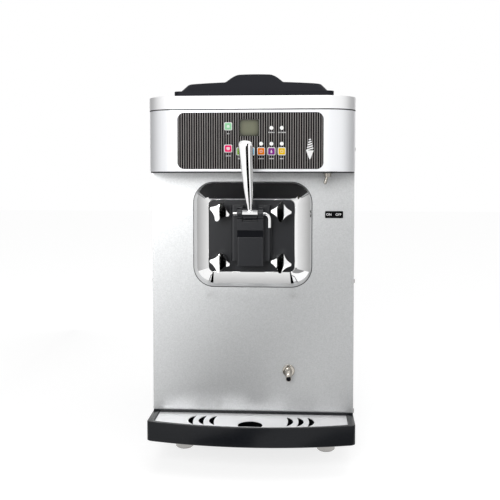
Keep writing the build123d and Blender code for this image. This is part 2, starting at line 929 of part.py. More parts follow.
def beater_motor():
    """Sealed gear motor bolted to the drive plate."""
    back = behind(barrel_end)
    shape = rod_y(motor_radius, back - motor_length, back, motor_x, motor_z)
    shape = fillet(shape.edges().filter_by(GeomType.CIRCLE).sort_by(Axis.Y)[0], motor_edge)
    inside = motor_shaft_inside + seat_gap
    return shape - rod_y(motor_shaft_radius + running_fit, back - inside, back + through, motor_x, motor_z)


def motor_shaft():
    """Output shaft of the gear motor."""
    start = behind(barrel_end - motor_shaft_inside)
    return rod_y(motor_shaft_radius, start, behind(pulley_end), motor_x, motor_z)


# Refrigeration set

def compressor():
    """Hermetic compressor on its base plate."""
    y = behind(compressor_setback)
    seat = floor_z + compressor_foot_skin
    shape = rod_z(compressor_radius, seat, compressor_top, compressor_x, y)
    shape = fillet(shape.edges().filter_by(GeomType.CIRCLE).group_by(Axis.Z)[-1], compressor_dome)
    side = compressor_foot
    return shape + level(side, side, compressor_foot_corner, floor_z, seat, compressor_x, y)


def condenser():
    """Air-cooled condenser: a frame full of upright fins, against the rear panel."""
    wide = condenser_wide / 2
    front = behind(condenser_y)
    back = behind(condenser_y + condenser_thick)
    top = floor_z + condenser_tall
    shape = block(-wide, wide, front, back, floor_z, top)
    core = wide - condenser_frame
    low = floor_z + condenser_frame
    shape -= block(-core, core, front - through, back + through, low, top - condenser_frame)
    for fin in range(1, int(2 * core / condenser_fin_pitch) + 1):
        x = -core + fin * condenser_fin_pitch - condenser_fin_skin / 2
        if x + condenser_fin_skin < core:
            shape += block(x, x + condenser_fin_skin, front, back, floor_z, top)
    return shape


def fan_shroud():
    """Plate and ring that lead the air through the condenser, with a spider for the fan motor."""
    wide = condenser_wide / 2
    front = behind(shroud_y)
    back = front + shroud_skin
    mouth = fan_radius + fan_tip_gap
    shape = block(-wide, wide, front, back, floor_z, floor_z + condenser_tall)
    shape += rod_y(mouth + shroud_skin, front, behind(condenser_y), 0, condenser_mid)
    shape -= rod_y(mouth, front - through, behind(condenser_y + through), 0, condenser_mid)
    reach = mouth + shroud_skin / 2
    for turn in (0, 90):
        bar = block(-reach, reach, front, back, -spoke_width / 2, spoke_width / 2)
        shape += Pos(0, 0, condenser_mid) * Rot(0, turn, 0) * bar
    shape += rod_y(fan_motor_radius, front, back, 0, condenser_mid)
    return shape - rod_y(fan_shaft + seat_gap, front - through, back + through, 0, condenser_mid)


def fan_motor():
    """Small motor on the shroud's spider."""
    back = behind(shroud_y)
    shape = rod_y(fan_motor_radius, back - fan_motor_length, back, 0, condenser_mid)
    inside = back - fan_motor_length / 2 - seat_gap
    return shape - rod_y(fan_shaft + running_fit, inside, back + through, 0, condenser_mid)


def condenser_fan():
    """Axial fan with pitched blades on its shaft."""
    middle = behind(shroud_y + shroud_depth / 2)
    front = middle - fan_depth / 2
    shape = rod_y(fan_hub, front, front + fan_depth, 0, condenser_mid)
    shape += rod_y(fan_shaft, behind(shroud_y - fan_motor_length / 2), front, 0, condenser_mid)
    chord = fan_blade_share * fan_depth / math.sin(math.radians(fan_pitch_angle))
    root = fan_hub - fan_root_sink
    span = fan_radius - root
    blade = Rot(fan_pitch_angle, 0, 0) * Box(span, fan_blade_skin, chord)
    blade = Pos((root + fan_radius) / 2, 0, 0) * blade
    for index in range(fan_blades):
        shape += Pos(0, middle, condenser_mid) * Rot(0, 360 * index / fan_blades, 0) * blade
    return shape


def bent_pipe(points):
    """A round pipe along straight runs with equal bends."""
    path = FilletPolyline(*points, radius=pipe_bend)
    start = Plane(origin=path @ 0, z_dir=path % 0)
    return sweep(start * Circle(pipe_radius), path=path)


def refrigerant_pipes():
    """Discharge pipe to the condenser and suction pipe from the evaporator."""
    y = behind(compressor_setback)
    high = floor_z + condenser_tall + pipe_rise
    back = behind(condenser_y + condenser_thick / 2)
    discharge = [(compressor_x, y, compressor_top), (compressor_x, y, high)]
    discharge += [(compressor_x, back, high), (compressor_x, back, floor_z + condenser_tall)]
    y = behind(suction_setback)
    low = (compressor_top + axis_z - foam_outer) / 2
    suction = [(0, y, axis_z - jacket_outer - slide_gap), (0, y, low)]
    suction += [(suction_x, y, low), (suction_x, y, compressor_top)]
    return Compound([bent_pipe(discharge), bent_pipe(suction)])


# Dispensing head

def bezel():
    """Chromed frame whose four walls slope forward from the front panel to the head."""
    outer = upright_face(bezel_wide, bezel_tall, bezel_corner, front_y, axis_z)
    mouth = upright_face(opening_wide, opening_tall, opening_corner, ahead(bezel_rise), axis_z)
    solid = loft([outer, mouth], ruled=True)
    core = Pos(0, bezel_skin * math.sqrt(2), 0) * solid
    front = ahead(bezel_rise + through)
    return solid - core - upright(opening_wide, opening_tall, opening_corner, front, behind(1), 0, axis_z)


def front_uprights(shape):
    """The two upright edges of a block that stand furthest forward."""
    return shape.edges().filter_by(Axis.Z).sort_by(Axis.Y)[:2]


def dispensing_head():
    """Black moulded door of the barrel: plate, column with the valve bore, and cheeks for the lever."""
    back = ahead(spout_back)
    face = ahead(spout_plate_rise)
    wide = opening_wide - 2 * seat_gap
    tall = opening_tall - 2 * seat_gap
    shape = upright(wide, tall, opening_corner - seat_gap, face, back, 0, axis_z)
    for x, z in stud_places():
        shape += rod_y(knob_boss, ahead(knob_seat), face, x, z)
    side = mid_wide / 2
    middle = block(-side, side, ahead(mid_rise), face, axis_z - mid_bottom, axis_z + mid_top)
    shape += fillet(front_uprights(middle), mid_edge)
    side = column_wide / 2
    column = block(-side, side, ahead(column_rise), face, axis_z - column_bottom, axis_z + web_top)
    shape += fillet(front_uprights(column), column_edge)
    for turn in (-1, 1):
        x0 = turn * cheek_gap / 2
        x1 = turn * side
        shape += block(x0, x1, ahead(column_rise), face, axis_z + groove_top, pivot_z)
        shape += block(x0, x1, ahead(pivot_rise), face, axis_z + groove_top, pivot_z + cheek_radius)
        shape += rod_x(cheek_radius, x0, x1, ahead(pivot_rise), pivot_z)
    gap = cheek_gap / 2
    ceiling = axis_z + opening_tall
    shape -= block(-gap, gap, ahead(column_rise + cheek_radius), face, axis_z + web_top, ceiling)
    flank = side + through
    shape -= block(-flank, flank, ahead(column_rise + through), ahead(column_rise - groove_deep),
                   axis_z + groove_bottom, axis_z + groove_top)
    shape -= rod_z(plunger_radius, axis_z - column_bottom - through, ceiling, 0, ahead(bore_rise))
    shape -= rod_y(outlet_bore, ahead(bore_rise), back + through, 0, axis_z - outlet_drop)
    bush_front = ahead(spout_back + front_bush_length)
    shape -= rod_y(beater_shaft + front_bush_skin, bush_front, back + through, 0, axis_z)
    for x, z in stud_places():
        shape -= rod_y(stud_diameter / 2 + slide_gap, ahead(knob_seat + through), back + through, x, z)
    return shape - rod_x(pin_radius + running_fit, -flank, flank, ahead(pivot_rise), pivot_z)


def head_gasket():
    """Flat sealing ring between the barrel and the dispensing head."""
    shape = rod_y(barrel_outer + gasket_ring, ahead(spout_back), ahead(flange_front), 0, axis_z)
    return shape - rod_y(barrel_bore, ahead(spout_back + through), behind(0), 0, axis_z)


def head_studs():
    """Four threaded studs on the barrel's flange."""
    tip = ahead(stud_tip)
    root = ahead(flange_front)
    return Compound([rod_y(stud_diameter / 2, tip, root, x, z) for x, z in stud_places()])


def star_knob(x, z, tilt):
    """Chromed four-pointed hand nut on one stud, turned by tilt degrees."""
    seat = ahead(knob_seat + slide_gap)
    face = Circle(knob_reach)
    for corner in range(4):
        face -= Rot(0, 0, 45 + 90 * corner) * Pos(knob_neck + knob_scoop, 0) * Circle(knob_scoop)
    start = Plane((x, seat - knob_hub_length, z), x_dir=(1, 0, 0), z_dir=(0, -1, 0))
    star = extrude(start * (Rot(0, 0, tilt) * face), knob_thick)
    star = fillet(star.faces().sort_by(Axis.Y)[0].edges(), knob_edge)
    shape = star + rod_y(knob_hub, seat - knob_hub_length, seat, x, z)
    return shape - rod_y(stud_diameter / 2 + running_fit, ahead(stud_tip + seat_gap), seat + through, x, z)


def draw_plunger():
    """Sliding valve in the column, with a pocket for the lever's ball and two ring grooves."""
    radius = plunger_radius - 2 * running_fit
    y = ahead(bore_rise)
    top = axis_z + plunger_top
    shape = rod_z(radius, axis_z - plunger_bottom, top, 0, y)
    ball_z = pivot_z - ball_drop
    reach = lever_ball + plunger_slot_gap
    side = plunger_slot_side
    front = ahead(bore_rise + plunger_radius + through)
    rest = ahead(pivot_rise - ball_back)
    deepest = ahead(pivot_rise - lever_arm) + reach
    shape -= block(-side, side, front, deepest, ball_z - reach, ball_z + reach)
    shape -= block(-side, side, front, rest, ball_z - plunger_flare, top + through)
    for z in ring_levels():
        ring = rod_z(plunger_radius, z, z + ring_wide, 0, y)
        shape -= ring - rod_z(radius - ring_deep, z, z + ring_wide, 0, y)
    return shape


def ring_levels():
    """Underside of each sealing ring on the plunger."""
    first = axis_z - plunger_bottom + ring_first
    return (first, first + ring_spread)


def plunger_rings():
    """Two sealing rings in the plunger's grooves."""
    outside = plunger_radius - 2 * running_fit
    inside = outside - ring_deep + running_fit
    y = ahead(bore_rise)
    solids = []
    for z in ring_levels():
        low = z + running_fit
        high = z + ring_wide - running_fit
        solids.append(rod_z(outside, low, high, 0, y) - rod_z(inside, low - through, high + through, 0, y))
    return Compound(solids)


def lever_section(share, wide, thick):
    """Outline of the lever's blade at a share of its length."""
    place = Pos(share * lever_tip_shift, 0, share * lever_length)
    return place * RectangleRounded(wide, thick, thick * lever_edge_share)


def draw_lever():
    """Chromed draw lever: hub and front plate on the pin, flared blade, short arm and ball behind."""
    middle_thick = (lever_foot_thick + lever_tip_thick) / 2
    sections = [lever_section(lever_foot_share, lever_foot_wide, lever_foot_thick)]
    sections.append(lever_section(lever_low_share, lever_low_wide, middle_thick))
    sections.append(lever_section(lever_high_share, lever_high_wide, lever_tip_thick))
    last = 1 - lever_tip_round / lever_length
    sections.append(lever_section(last, lever_tip_wide, lever_tip_thick))
    blade = loft(sections)
    end = lever_section(1, lever_tip_wide - lever_tip_round, lever_tip_thick - lever_tip_round)
    blade += loft([sections[-1], end], ruled=True)
    pivot = Pos(0, ahead(pivot_rise), pivot_z)
    shape = pivot * Rot(lever_lean, 0, 0) * blade
    side = lever_hub_wide / 2
    shape += pivot * rod_x(lever_hub, -side, side, 0, 0)
    low = lever_plate_lift - lever_plate_tall / 2
    shape += pivot * block(-side, side, -lever_plate_reach, 0, low, low + lever_plate_tall)
    arm = rod_y(lever_arm_radius, 0, lever_arm, 0, 0) + Pos(0, lever_arm, 0) * Sphere(lever_ball)
    shape += pivot * Rot(-lever_swing / 2, 0, 0) * arm
    return shape - pivot * rod_x(pin_radius + running_fit, -side - through, side + through, 0, 0)


def pivot_pin():
    """Bent steel pin through the cheeks and the lever's hub."""
    y = ahead(pivot_rise)
    points = [(-pin_left, y, pivot_z), (pin_right, y, pivot_z), (pin_right, y, pivot_z - pin_tail)]
    path = FilletPolyline(*points, radius=pin_bend)
    return sweep(Plane(origin=path @ 0, z_dir=path % 0) * Circle(pin_radius), path=path)


# Switch, drain, drip tray and gland

def toggle_bushing():
    """Threaded bush and nut of the power switch, under the control head."""
    y = ahead(toggle_forward)
    shape = rod_z(toggle_thread, head_z - toggle_out, head_z + head_wall + toggle_in, toggle_x, y)
    nut = Pos(toggle_x, y, head_z - toggle_nut_skin) * RegularPolygon(toggle_nut, 6)
    shape += extrude(nut, toggle_nut_skin)
    roof = head_z - toggle_pivot_drop + toggle_ball + slide_gap
    return shape - rod_z(toggle_bore, head_z - toggle_out - through, roof, toggle_x, y)


def power_toggle():
    """Bat of the power switch, leaning to its left position."""
    bat = Pos(0, 0, -toggle_reach / 2) * Cone(toggle_tip, toggle_foot, toggle_reach)
    bat += Pos(0, 0, -toggle_reach) * Sphere(toggle_tip)
    bat += Sphere(toggle_ball)
    return Pos(toggle_x, ahead(toggle_forward), head_z - toggle_pivot_drop) * Rot(0, toggle_lean, 0) * bat


def switch_plate():
    """Small black plate on the front panel below the power switch."""
    face = ahead(plate_skin)
    return upright(plate_wide, plate_tall, plate_corner, face, front_y, plate_x, head_z - plate_drop)


def drain_spout():
    """Chromed spout that drains the leak channel, held by a nut behind the front panel."""
    z = chassis_z + drain_height
    tip = ahead(drain_forward)
    back = behind(sheet + drain_nut_skin)
    shape = rod_y(drain_collar, ahead(drain_collar_skin), front_y, drain_x, z)
    shape += rod_y(drain_tube, tip, back, drain_x, z) + rod_z(drain_tube, z - drain_fall, z, drain_x, tip)
    shape += Pos(drain_x, tip, z) * Sphere(drain_tube)
    shape += rod_y(drain_nut, behind(sheet), back, drain_x, z)
    bore = drain_tube - drain_wall
    shape -= rod_y(bore, tip, back + through, drain_x, z)
    shape -= rod_z(bore, z - drain_fall - through, z, drain_x, tip)
    shape -= Pos(drain_x, tip, z) * Sphere(bore)
    lip = tip - drain_tube
    slant = [(lip, z - drain_mouth), (tip + drain_tube, z - drain_fall), (lip, z - drain_fall)]
    side = Plane((drain_x - drain_collar, 0, 0), x_dir=(0, 1, 0), z_dir=(1, 0, 0))
    return shape - extrude(side * make_face(Polyline(*slant, close=True)), 2 * drain_collar)


def tray_plan(side_inset, front_inset, back_inset, z0, z1):
    """The tray's outline, straight behind and bowed in front, drawn in at its sides, front and back."""
    side = tray_wide / 2 - side_inset
    back = ahead(tray_gap + back_inset)
    corner = ahead(tray_corner_reach - front_inset)
    front = ahead(tray_corner_reach + tray_bow - front_inset)
    edges = [Line((-side, back), (side, back)), Line((side, back), (side, corner))]
    edges.append(ThreePointArc((side, corner), (0, front), (-side, corner)))
    edges.append(Line((-side, corner), (-side, back)))
    return extrude(Pos(0, 0, z0) * make_face(edges), z1 - z0)


def tray_insets(extra):
    """How far the tray's mouth lies inside its outline at the sides, front and back, and extra."""
    return [rim + extra for rim in (tray_rim, tray_front_rim, tray_back_rim)]


def drip_tray():
    """Black moulded drip tray on the chassis rails, with a ledge for its grid."""
    shape = tray_plan(0, 0, 0, tray_z, tray_top)
    shape = fillet(front_uprights(shape), tray_corner)
    seat = tray_top - grid_sink - grid_skin
    shape -= tray_plan(*tray_insets(0), seat, tray_top + through)
    return shape - tray_plan(*tray_insets(tray_ledge), tray_z + tray_wall, tray_top)


def crescent(x, turn):
    """One crescent slot whose belly points outwards."""
    belly = math.sqrt(crescent_outer ** 2 - crescent_half ** 2)
    hollow = math.sqrt(crescent_inner ** 2 - crescent_half ** 2)
    face = Pos(-turn * belly, 0) * Circle(crescent_outer) - Pos(-turn * hollow, 0) * Circle(crescent_inner)
    return extrude(Pos(turn * x, ahead(crescent_forward), tray_z) * face, 2 * tray_height)


def drip_grid():
    """Bright drip grid with three crescent slots on each side and a half-moon slot."""
    top = tray_top - grid_sink
    shape = tray_plan(*tray_insets(slide_gap), top - grid_skin, top)
    for index in range(crescent_count):
        for turn in (-1, 1):
            shape -= crescent(crescent_first + index * crescent_pitch, turn)
    moon = rod_z(moon_radius, tray_z, tray_top + through, 0, ahead(moon_forward))
    flat = ahead(moon_flat)
    moon -= block(-tray_wide, tray_wide, flat, ahead(tray_wide), tray_z - through, tray_top + 2 * through)
    return shape - moon


def hexagon_y(radius, y0, y1, x, z):
    """A six-sided nut along Y."""
    start = Plane((x, y1, z), x_dir=(1, 0, 0), z_dir=(0, -1, 0))
    return extrude(start * RegularPolygon(radius, 6), y1 - y0)


def cord_gland():
    """Cord gland in the rear panel: a hexagon outside, a thread through the sheet and a lock nut inside."""
    inside = rear_y - sheet
    shape = hexagon_y(gland_hex, rear_y, rear_y + gland_out, gland_x, gland_z)
    shape += rod_y(gland_thread, inside - gland_in, rear_y, gland_x, gland_z)
    shape += hexagon_y(gland_hex, inside - gland_nut, inside, gland_x, gland_z)
    start = inside - gland_in
    return shape - rod_y(gland_bore, start - through, rear_y + gland_out + through, gland_x, gland_z)


# The finished pieces, one file each

pieces = {
    "chassis_base": chassis_base(),
    "feet": feet(),
    "body_frame": body_frame(),
    "front_panel": front_panel(),
    "side_panels": Compound([side_panel(-1), side_panel(1)]),
    "rear_panel": rear_panel(),
    "panel_screws": panel_screws(),
    "head_cover": head_cover(),
    "control_overlay": control_overlay(),
    "control_board": control_board(),
    "display_window": display_window(),
    "indicator_lamps": indicator_lamps(),
    "top_rim": top_rim(),
    "hopper_tank": hopper_tank(),
    "feed_tube": feed_tube(),
    "hopper_lid": hopper_lid(),
    "freezing_cylinder": freezing_cylinder(),
    "evaporator_jacket": evaporator_jacket(),
    "barrel_foam": barrel_foam(),
    "drive_plate": drive_plate(),
    "shaft_bearings": Compound([bearing_housing(), front_bush()]),
    "barrel_seals": Compound([shaft_seal(), head_gasket()]),
    "beater": beater(),
    "scraper_blades": scraper_blades(),
    "drive_shaft": drive_shaft(),
    "driven_pulley": pulley(driven_radius, shaft_radius, 0, axis_z),
    "motor_pulley": Compound([small_pulley(), motor_shaft()]),
    "drive_belt": drive_belt(),
    "beater_motor": beater_motor(),
    "compressor": compressor(),
    "condenser": condenser(),
    "fan_shroud": fan_shroud(),
    "fan_motor": fan_motor(),
    "condenser_fan": condenser_fan(),
    "refrigerant_pipes": refrigerant_pipes(),
    "bezel": bezel(),
    "dispensing_head": dispensing_head(),
    "head_studs": head_studs(),
    "draw_plunger": draw_plunger(),
    "plunger_rings": plunger_rings(),
    "draw_lever": draw_lever(),
    "pivot_pin": pivot_pin(),
    "toggle_bushing": toggle_bushing(),
    "power_toggle": power_toggle(),
    "switch_plate": switch_plate(),
    "drain_spout": drain_spout(),
    "drip_tray": drip_tray(),
    "drip_grid": drip_grid(),
    "cord_gland": cord_gland(),
}
for name, (x, z) in key_places().items():
    pieces[name] = key(x, z)
knob_names = ("upper_left_knob", "upper_right_knob", "lower_left_knob", "lower_right_knob")
for name, (x, z), tilt in zip(knob_names, stud_places(), knob_tilts):
    pieces[name] = star_knob(x, z, tilt)

os.makedirs("parts", exist_ok=True)
for name, shape in pieces.items():
    export_step(shape, f"parts/{name}.step")
print(len(pieces), "pieces written")
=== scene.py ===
import json
import math

import bmesh
import bpy
import numpy as np
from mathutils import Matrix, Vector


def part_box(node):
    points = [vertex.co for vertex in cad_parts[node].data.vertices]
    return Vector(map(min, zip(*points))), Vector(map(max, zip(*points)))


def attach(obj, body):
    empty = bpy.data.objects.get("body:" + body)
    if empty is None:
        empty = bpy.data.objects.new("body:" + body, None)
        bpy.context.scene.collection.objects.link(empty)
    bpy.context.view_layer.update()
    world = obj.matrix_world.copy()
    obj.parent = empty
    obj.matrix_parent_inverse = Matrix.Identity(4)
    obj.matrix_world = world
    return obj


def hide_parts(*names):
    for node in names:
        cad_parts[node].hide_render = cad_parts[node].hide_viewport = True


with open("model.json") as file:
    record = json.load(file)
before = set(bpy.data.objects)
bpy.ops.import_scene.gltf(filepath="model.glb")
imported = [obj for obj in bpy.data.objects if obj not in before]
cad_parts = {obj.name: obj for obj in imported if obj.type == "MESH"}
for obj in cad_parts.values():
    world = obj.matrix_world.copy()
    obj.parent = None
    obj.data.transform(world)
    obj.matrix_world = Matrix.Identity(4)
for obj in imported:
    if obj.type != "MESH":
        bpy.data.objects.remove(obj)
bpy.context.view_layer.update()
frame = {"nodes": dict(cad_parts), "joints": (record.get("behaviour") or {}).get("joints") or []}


# Feet: four short feet turned from steel bar, polished, and screwed up into the chassis.
# Each one stands on a black rubber pad that is pressed into its underside.

mm = 0.001


def node(tree, kind, inputs=None, **settings):
    """A shader node with these settings, whose inputs take values or other nodes' outputs."""
    made = tree.nodes.new("ShaderNode" + kind)
    for setting, value in settings.items():
        setattr(made, setting, value)
    for socket, value in (inputs or {}).items():
        if isinstance(value, bpy.types.NodeSocket):
            tree.links.new(value, made.inputs[socket])
        else:
            made.inputs[socket].default_value = value
    return made


def finish(name, colour, metallic=0.0, roughness=0.5, grain=400.0, tint=0.06, bump=0.02,
           stretch=(1, 1, 1), specular=0.5):
    """A finish with a fine grain: noise on Object coordinates, stretched along the axes, shifts the
    colour by plus or minus half of tint, the roughness by a tenth of itself, and lifts the surface."""
    material = bpy.data.materials.new(name)
    material.use_nodes = True
    tree = material.node_tree
    shader = tree.nodes["Principled BSDF"]
    shader.inputs["Metallic"].default_value = metallic
    shader.inputs["Specular IOR Level"].default_value = specular
    where = node(tree, "TexCoord")
    scaled = node(tree, "Mapping", {"Vector": where.outputs["Object"], "Scale": stretch})
    noise = node(tree, "TexNoise", {"Vector": scaled.outputs["Vector"], "Scale": grain, "Detail": 4.0})
    shade = node(tree, "ValToRGB", {"Fac": noise.outputs["Fac"]})
    for stop, factor, position in zip(shade.color_ramp.elements, (1 - tint / 2, 1 + tint / 2), (0.3, 0.7)):
        stop.color = (*np.minimum(np.array(colour) * factor, 1.0), 1.0)
        stop.position = position
    tree.links.new(shade.outputs["Color"], shader.inputs["Base Color"])
    gloss = node(tree, "MapRange", {"Value": noise.outputs["Fac"], "To Min": 0.9 * roughness,
                                    "To Max": 1.1 * roughness})
    tree.links.new(gloss.outputs["Result"], shader.inputs["Roughness"])
    if bump:
        lift = node(tree, "Bump", {"Height": noise.outputs["Fac"], "Strength": bump, "Distance": 0.5 * mm})
        tree.links.new(lift.outputs["Normal"], shader.inputs["Normal"])
    return material


def show(name, data):
    """A new object of the scene, with this data and no change of place or size."""
    made = bpy.data.objects.new(name, data)
    bpy.context.scene.collection.objects.link(made)
    return made


def place(name, rings, material, body, stands_for=(), crease=35, loop=False):
    """One piece of the object, as closed skins over stacks of rings: rings[c, i, j] is point j of ring i
    of copy c. Quads join each ring to the next, flat faces close the ends or a loop joins the last ring
    to the first, faces turn outwards, and only edges sharper than crease degrees stay sharp."""
    rings = rings.reshape(-1, *rings.shape[-3:])
    index = np.arange(rings[..., 0].size).reshape(rings.shape[:3])
    above = np.roll(index, -1, axis=1)
    quads = np.stack([index, np.roll(index, -1, axis=2), np.roll(above, -1, axis=2), above], axis=-1)
    ends = np.concatenate([index[:, 0, ::-1], index[:, -1]])
    if loop:
        ends = ends[:0]
    else:
        quads = quads[:, :-1]
    mesh = bpy.data.meshes.new(name)
    mesh.from_pydata(rings.reshape(-1, 3).tolist(), [], quads.reshape(-1, 4).tolist() + ends.tolist())
    shell = bmesh.new()
    shell.from_mesh(mesh)
    bmesh.ops.recalc_face_normals(shell, faces=shell.faces)
    shell.to_mesh(mesh)
    shell.free()
    mesh.shade_smooth()
    mesh.set_sharp_from_angle(angle=math.radians(crease))
    mesh.materials.append(material)
    made = show(name, mesh)
    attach(made, body)
    if stands_for:
        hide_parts(*stands_for)
    return made


def circle(count):
    """Angles spread evenly over one turn."""
    return np.linspace(0, 2 * math.pi, count, endpoint=False)


def turned(radius, height, around=64):
    """A turned shape about the z axis: ring i is a circle of radius[i] at height[i]."""
    angle = circle(around)
    radius = np.asarray(radius, float)[:, None]
    height = np.asarray(height, float)[:, None]
    return np.stack([radius * np.cos(angle), radius * np.sin(angle), height + 0 * angle], axis=-1)


foot_radius = 18 * mm
foot_edge = 0.8 * mm
pad_radius = 15 * mm
pad_height, pad_hidden = 1.5 * mm, 0.3 * mm
foot_low, foot_high = np.array(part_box("feet"))
foot_places = np.array([(x, y, 0) for x in (foot_low[0] + foot_radius, foot_high[0] - foot_radius)
                        for y in (foot_low[1] + foot_radius, foot_high[1] - foot_radius)])
turned_steel = finish("turned_steel", (0.44, 0.43, 0.415), 1.0, 0.22, 900.0, 0.08, 0.03, stretch=(1, 1, 8))
rubber = finish("black_rubber", (0.02, 0.02, 0.022), 0.0, 0.7, 800.0, 0.2, 0.1, specular=0.3)
foot_bar = turned([foot_radius - foot_edge, foot_radius, foot_radius],
                  [pad_height, pad_height + foot_edge, foot_high[2]])
place("feet_bar", foot_places[:, None, None] + foot_bar, turned_steel, "cabinet", ("feet",))
pad = turned([pad_radius, pad_radius], [0, pad_height + pad_hidden])
place("foot_pads", foot_places[:, None, None] + pad, rubber, "cabinet")


# Chassis and frame: a folded steel base pan with the tray's rails, a frame of square tube welded on it
# and a plate for the drive, all sprayed with grey primer and hidden by the panels.

def dress(material, *names):
    """Gives CAD nodes one finish."""
    for name in names:
        frame["nodes"][name].data.materials.clear()
        frame["nodes"][name].data.materials.append(material)


primer = finish("grey_primer", (0.30, 0.31, 0.33), 0.0, 0.6, 500.0, 0.10, 0.05)
dress(primer, "chassis_base", "body_frame", "drive_plate")


# Cooling group: a black hermetic compressor on the chassis, a condenser of thin aluminium fins on
# copper tube, a plastic fan on its own motor in a sheet shroud, and brazed copper pipes.

motor_paint = finish("motor_paint", (0.035, 0.036, 0.04), 0.0, 0.42, 500.0, 0.15, 0.08)
fins = finish("fin_aluminium", (0.72, 0.73, 0.74), 1.0, 0.4, 60.0, 0.12, 0.3, stretch=(12, 1, 0.2))
copper = finish("copper_pipe", (0.72, 0.36, 0.22), 1.0, 0.32, 300.0, 0.12, 0.04)
fan_plastic = finish("fan_plastic", (0.05, 0.05, 0.055), 0.0, 0.5, 600.0, 0.1, 0.05)
dress(motor_paint, "compressor", "fan_motor", "beater_motor")
dress(fins, "condenser")
dress(primer, "fan_shroud")
dress(fan_plastic, "condenser_fan")
dress(copper, "refrigerant_pipes", "evaporator_jacket")


# Freezing barrel and drive: a drawn steel cylinder wound with copper and foamed in, a welded steel beater
# with white scraper blades, and a belt drive with cast pulleys on the motor behind it.

bright_steel = finish("bright_steel", (0.80, 0.80, 0.81), 1.0, 0.28, 700.0, 0.06, 0.03)
foam = finish("barrel_foam", (0.80, 0.72, 0.50), 0.0, 0.9, 350.0, 0.2, 0.5)
white_plastic = finish("white_plastic", (0.82, 0.82, 0.80), 0.0, 0.4, 500.0, 0.04, 0.03)
cast_grey = finish("cast_grey", (0.28, 0.28, 0.29), 0.9, 0.5, 250.0, 0.2, 0.15)
dress(bright_steel, "freezing_cylinder", "beater", "drive_shaft", "head_studs")
dress(foam, "barrel_foam")
dress(white_plastic, "scraper_blades")
dress(cast_grey, "driven_pulley", "motor_pulley", "shaft_bearings")
dress(rubber, "barrel_seals", "drive_belt")


# Cabinet panels: a front of satin stainless sheet, and sides and a back of folded sheet with a fine
# silver lacquer. The sides are pressed with cooling slots and everything is screwed to the frame. The
# front's colour carries painted shade, darker from its upper left towards the middle of its right side.

def paint_shade_along(material, start, end, tone):
    """Paints shade into a finish: its colour falls from one to tone along the line from start to end,
    standing in for light that falls off across the surface. The share of the way is the dot product with that
    line, on
    Object coordinates."""
    tree = material.node_tree
    shader = tree.nodes["Principled BSDF"]
    colour = shader.inputs["Base Color"].links[0].from_socket
    line = np.array(end) - np.array(start)
    first = line.dot(start) / line.dot(line)
    along = node(tree, "VectorMath", {0: tree.nodes["Texture Coordinate"].outputs["Object"],
                                      1: line / line.dot(line)}, operation="DOT_PRODUCT")
    share = node(tree, "MapRange", {"Value": along.outputs["Value"], "From Min": first, "From Max": first + 1,
                                    "To Min": 1.0, "To Max": tone}, interpolation_type="SMOOTHSTEP")
    shaded_colour = node(tree, "VectorMath", {0: colour, "Scale": share.outputs["Result"]}, operation="SCALE")
    tree.links.new(shaded_colour.outputs["Vector"], shader.inputs["Base Color"])


satin_steel = finish("satin_steel", (0.67, 0.68, 0.685), 0.75, 0.36, 480.0, 0.16, 0.05)
panel_low, panel_high = np.array(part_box("front_panel"))
panel_middle = (panel_low[2] + panel_high[2]) / 2
panel_painted_shade = 0.69
# Painted shade on the front panel: its colour falls from full at the upper left corner to less at the middle
# of the right edge.
paint_shade_along(satin_steel, (panel_low[0], 0, panel_high[2]), (panel_high[0], 0, panel_middle), panel_painted_shade)
silver_paint = finish("silver_paint", (0.66, 0.67, 0.69), 0.35, 0.38, 900.0, 0.05, 0.04)
dress(satin_steel, "front_panel")
dress(silver_paint, "side_panels", "rear_panel")


# Panel screws: pan-headed screws of bright steel, driven through the side panels' edges into clips on the
# frame.

dress(turned_steel, "panel_screws")


# Control head: a cover moulded in pearl white plastic that hooks over the front of the cabinet. A black
# skirt edges it from below round a black well plate; both are painted shade, dark sheets that stand in for
# the shade under the head. A black gasket lies in the joint with the rim.

def lifted(plans, heights):
    """Outlines set at heights: plans[i, j] is point j of outline i, which lies at heights[i]."""
    heights = np.asarray(heights, float)[:, None, None]
    return np.concatenate([plans, np.broadcast_to(heights, (*plans.shape[:2], 1))], axis=-1)


def oblong(half, low, high):
    """A rectangle's outline, from minus half to half across and from low to high."""
    return np.array([(-half, low), (half, low), (half, high), (-half, high)])


def head_outline(inset, steps=12):
    """The head's front half seen from above: two straight sides and two quarter-circle corners, drawn in
    by inset, as points from the left side round the front to the right side."""
    side = head_high[0] - inset
    front = head_low[1] + inset
    corner = head_corner - inset
    turn = np.linspace(0, math.pi / 2, steps + 1)
    left = np.stack([corner * (1 - np.cos(turn)) - side, front + corner * (1 - np.sin(turn))], axis=-1)
    right = left[::-1] * (-1, 1)
    ends = np.array([(-side, head_back), (side, head_back)])
    return np.concatenate([ends[:1], left, right, ends[1:]])


pearl = finish("pearl_plastic", (0.87, 0.88, 0.90), 0.3, 0.30, 900.0, 0.02, 0.02)
shade_black = finish("shade_black", (0.014, 0.014, 0.016), 0.0, 0.45, 900.0, 0.15, 0.06, specular=0.3)
head_low, head_high = np.array(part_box("head_cover"))
head_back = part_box("front_panel")[0][1]
head_corner = 58 * mm
dress(pearl, "head_cover")
# Painted shade: a narrow black skirt below the head's lower edge draws the dark line of shade along it.
skirt_inset, skirt_wide = 1.0 * mm, 2.5 * mm
skirt_drop, skirt_root = 2.0 * mm, 0.5 * mm
skirt_insets = skirt_inset + skirt_wide * np.array([0, 1, 1, 0])
skirt_rise = np.array([-skirt_drop, -skirt_drop, skirt_root, skirt_root])
skirt_plans = np.stack([head_outline(inset) for inset in skirt_insets])
place("head_skirt_shade", lifted(skirt_plans, head_low[2] + skirt_rise).swapaxes(0, 1), shade_black, "cabinet")
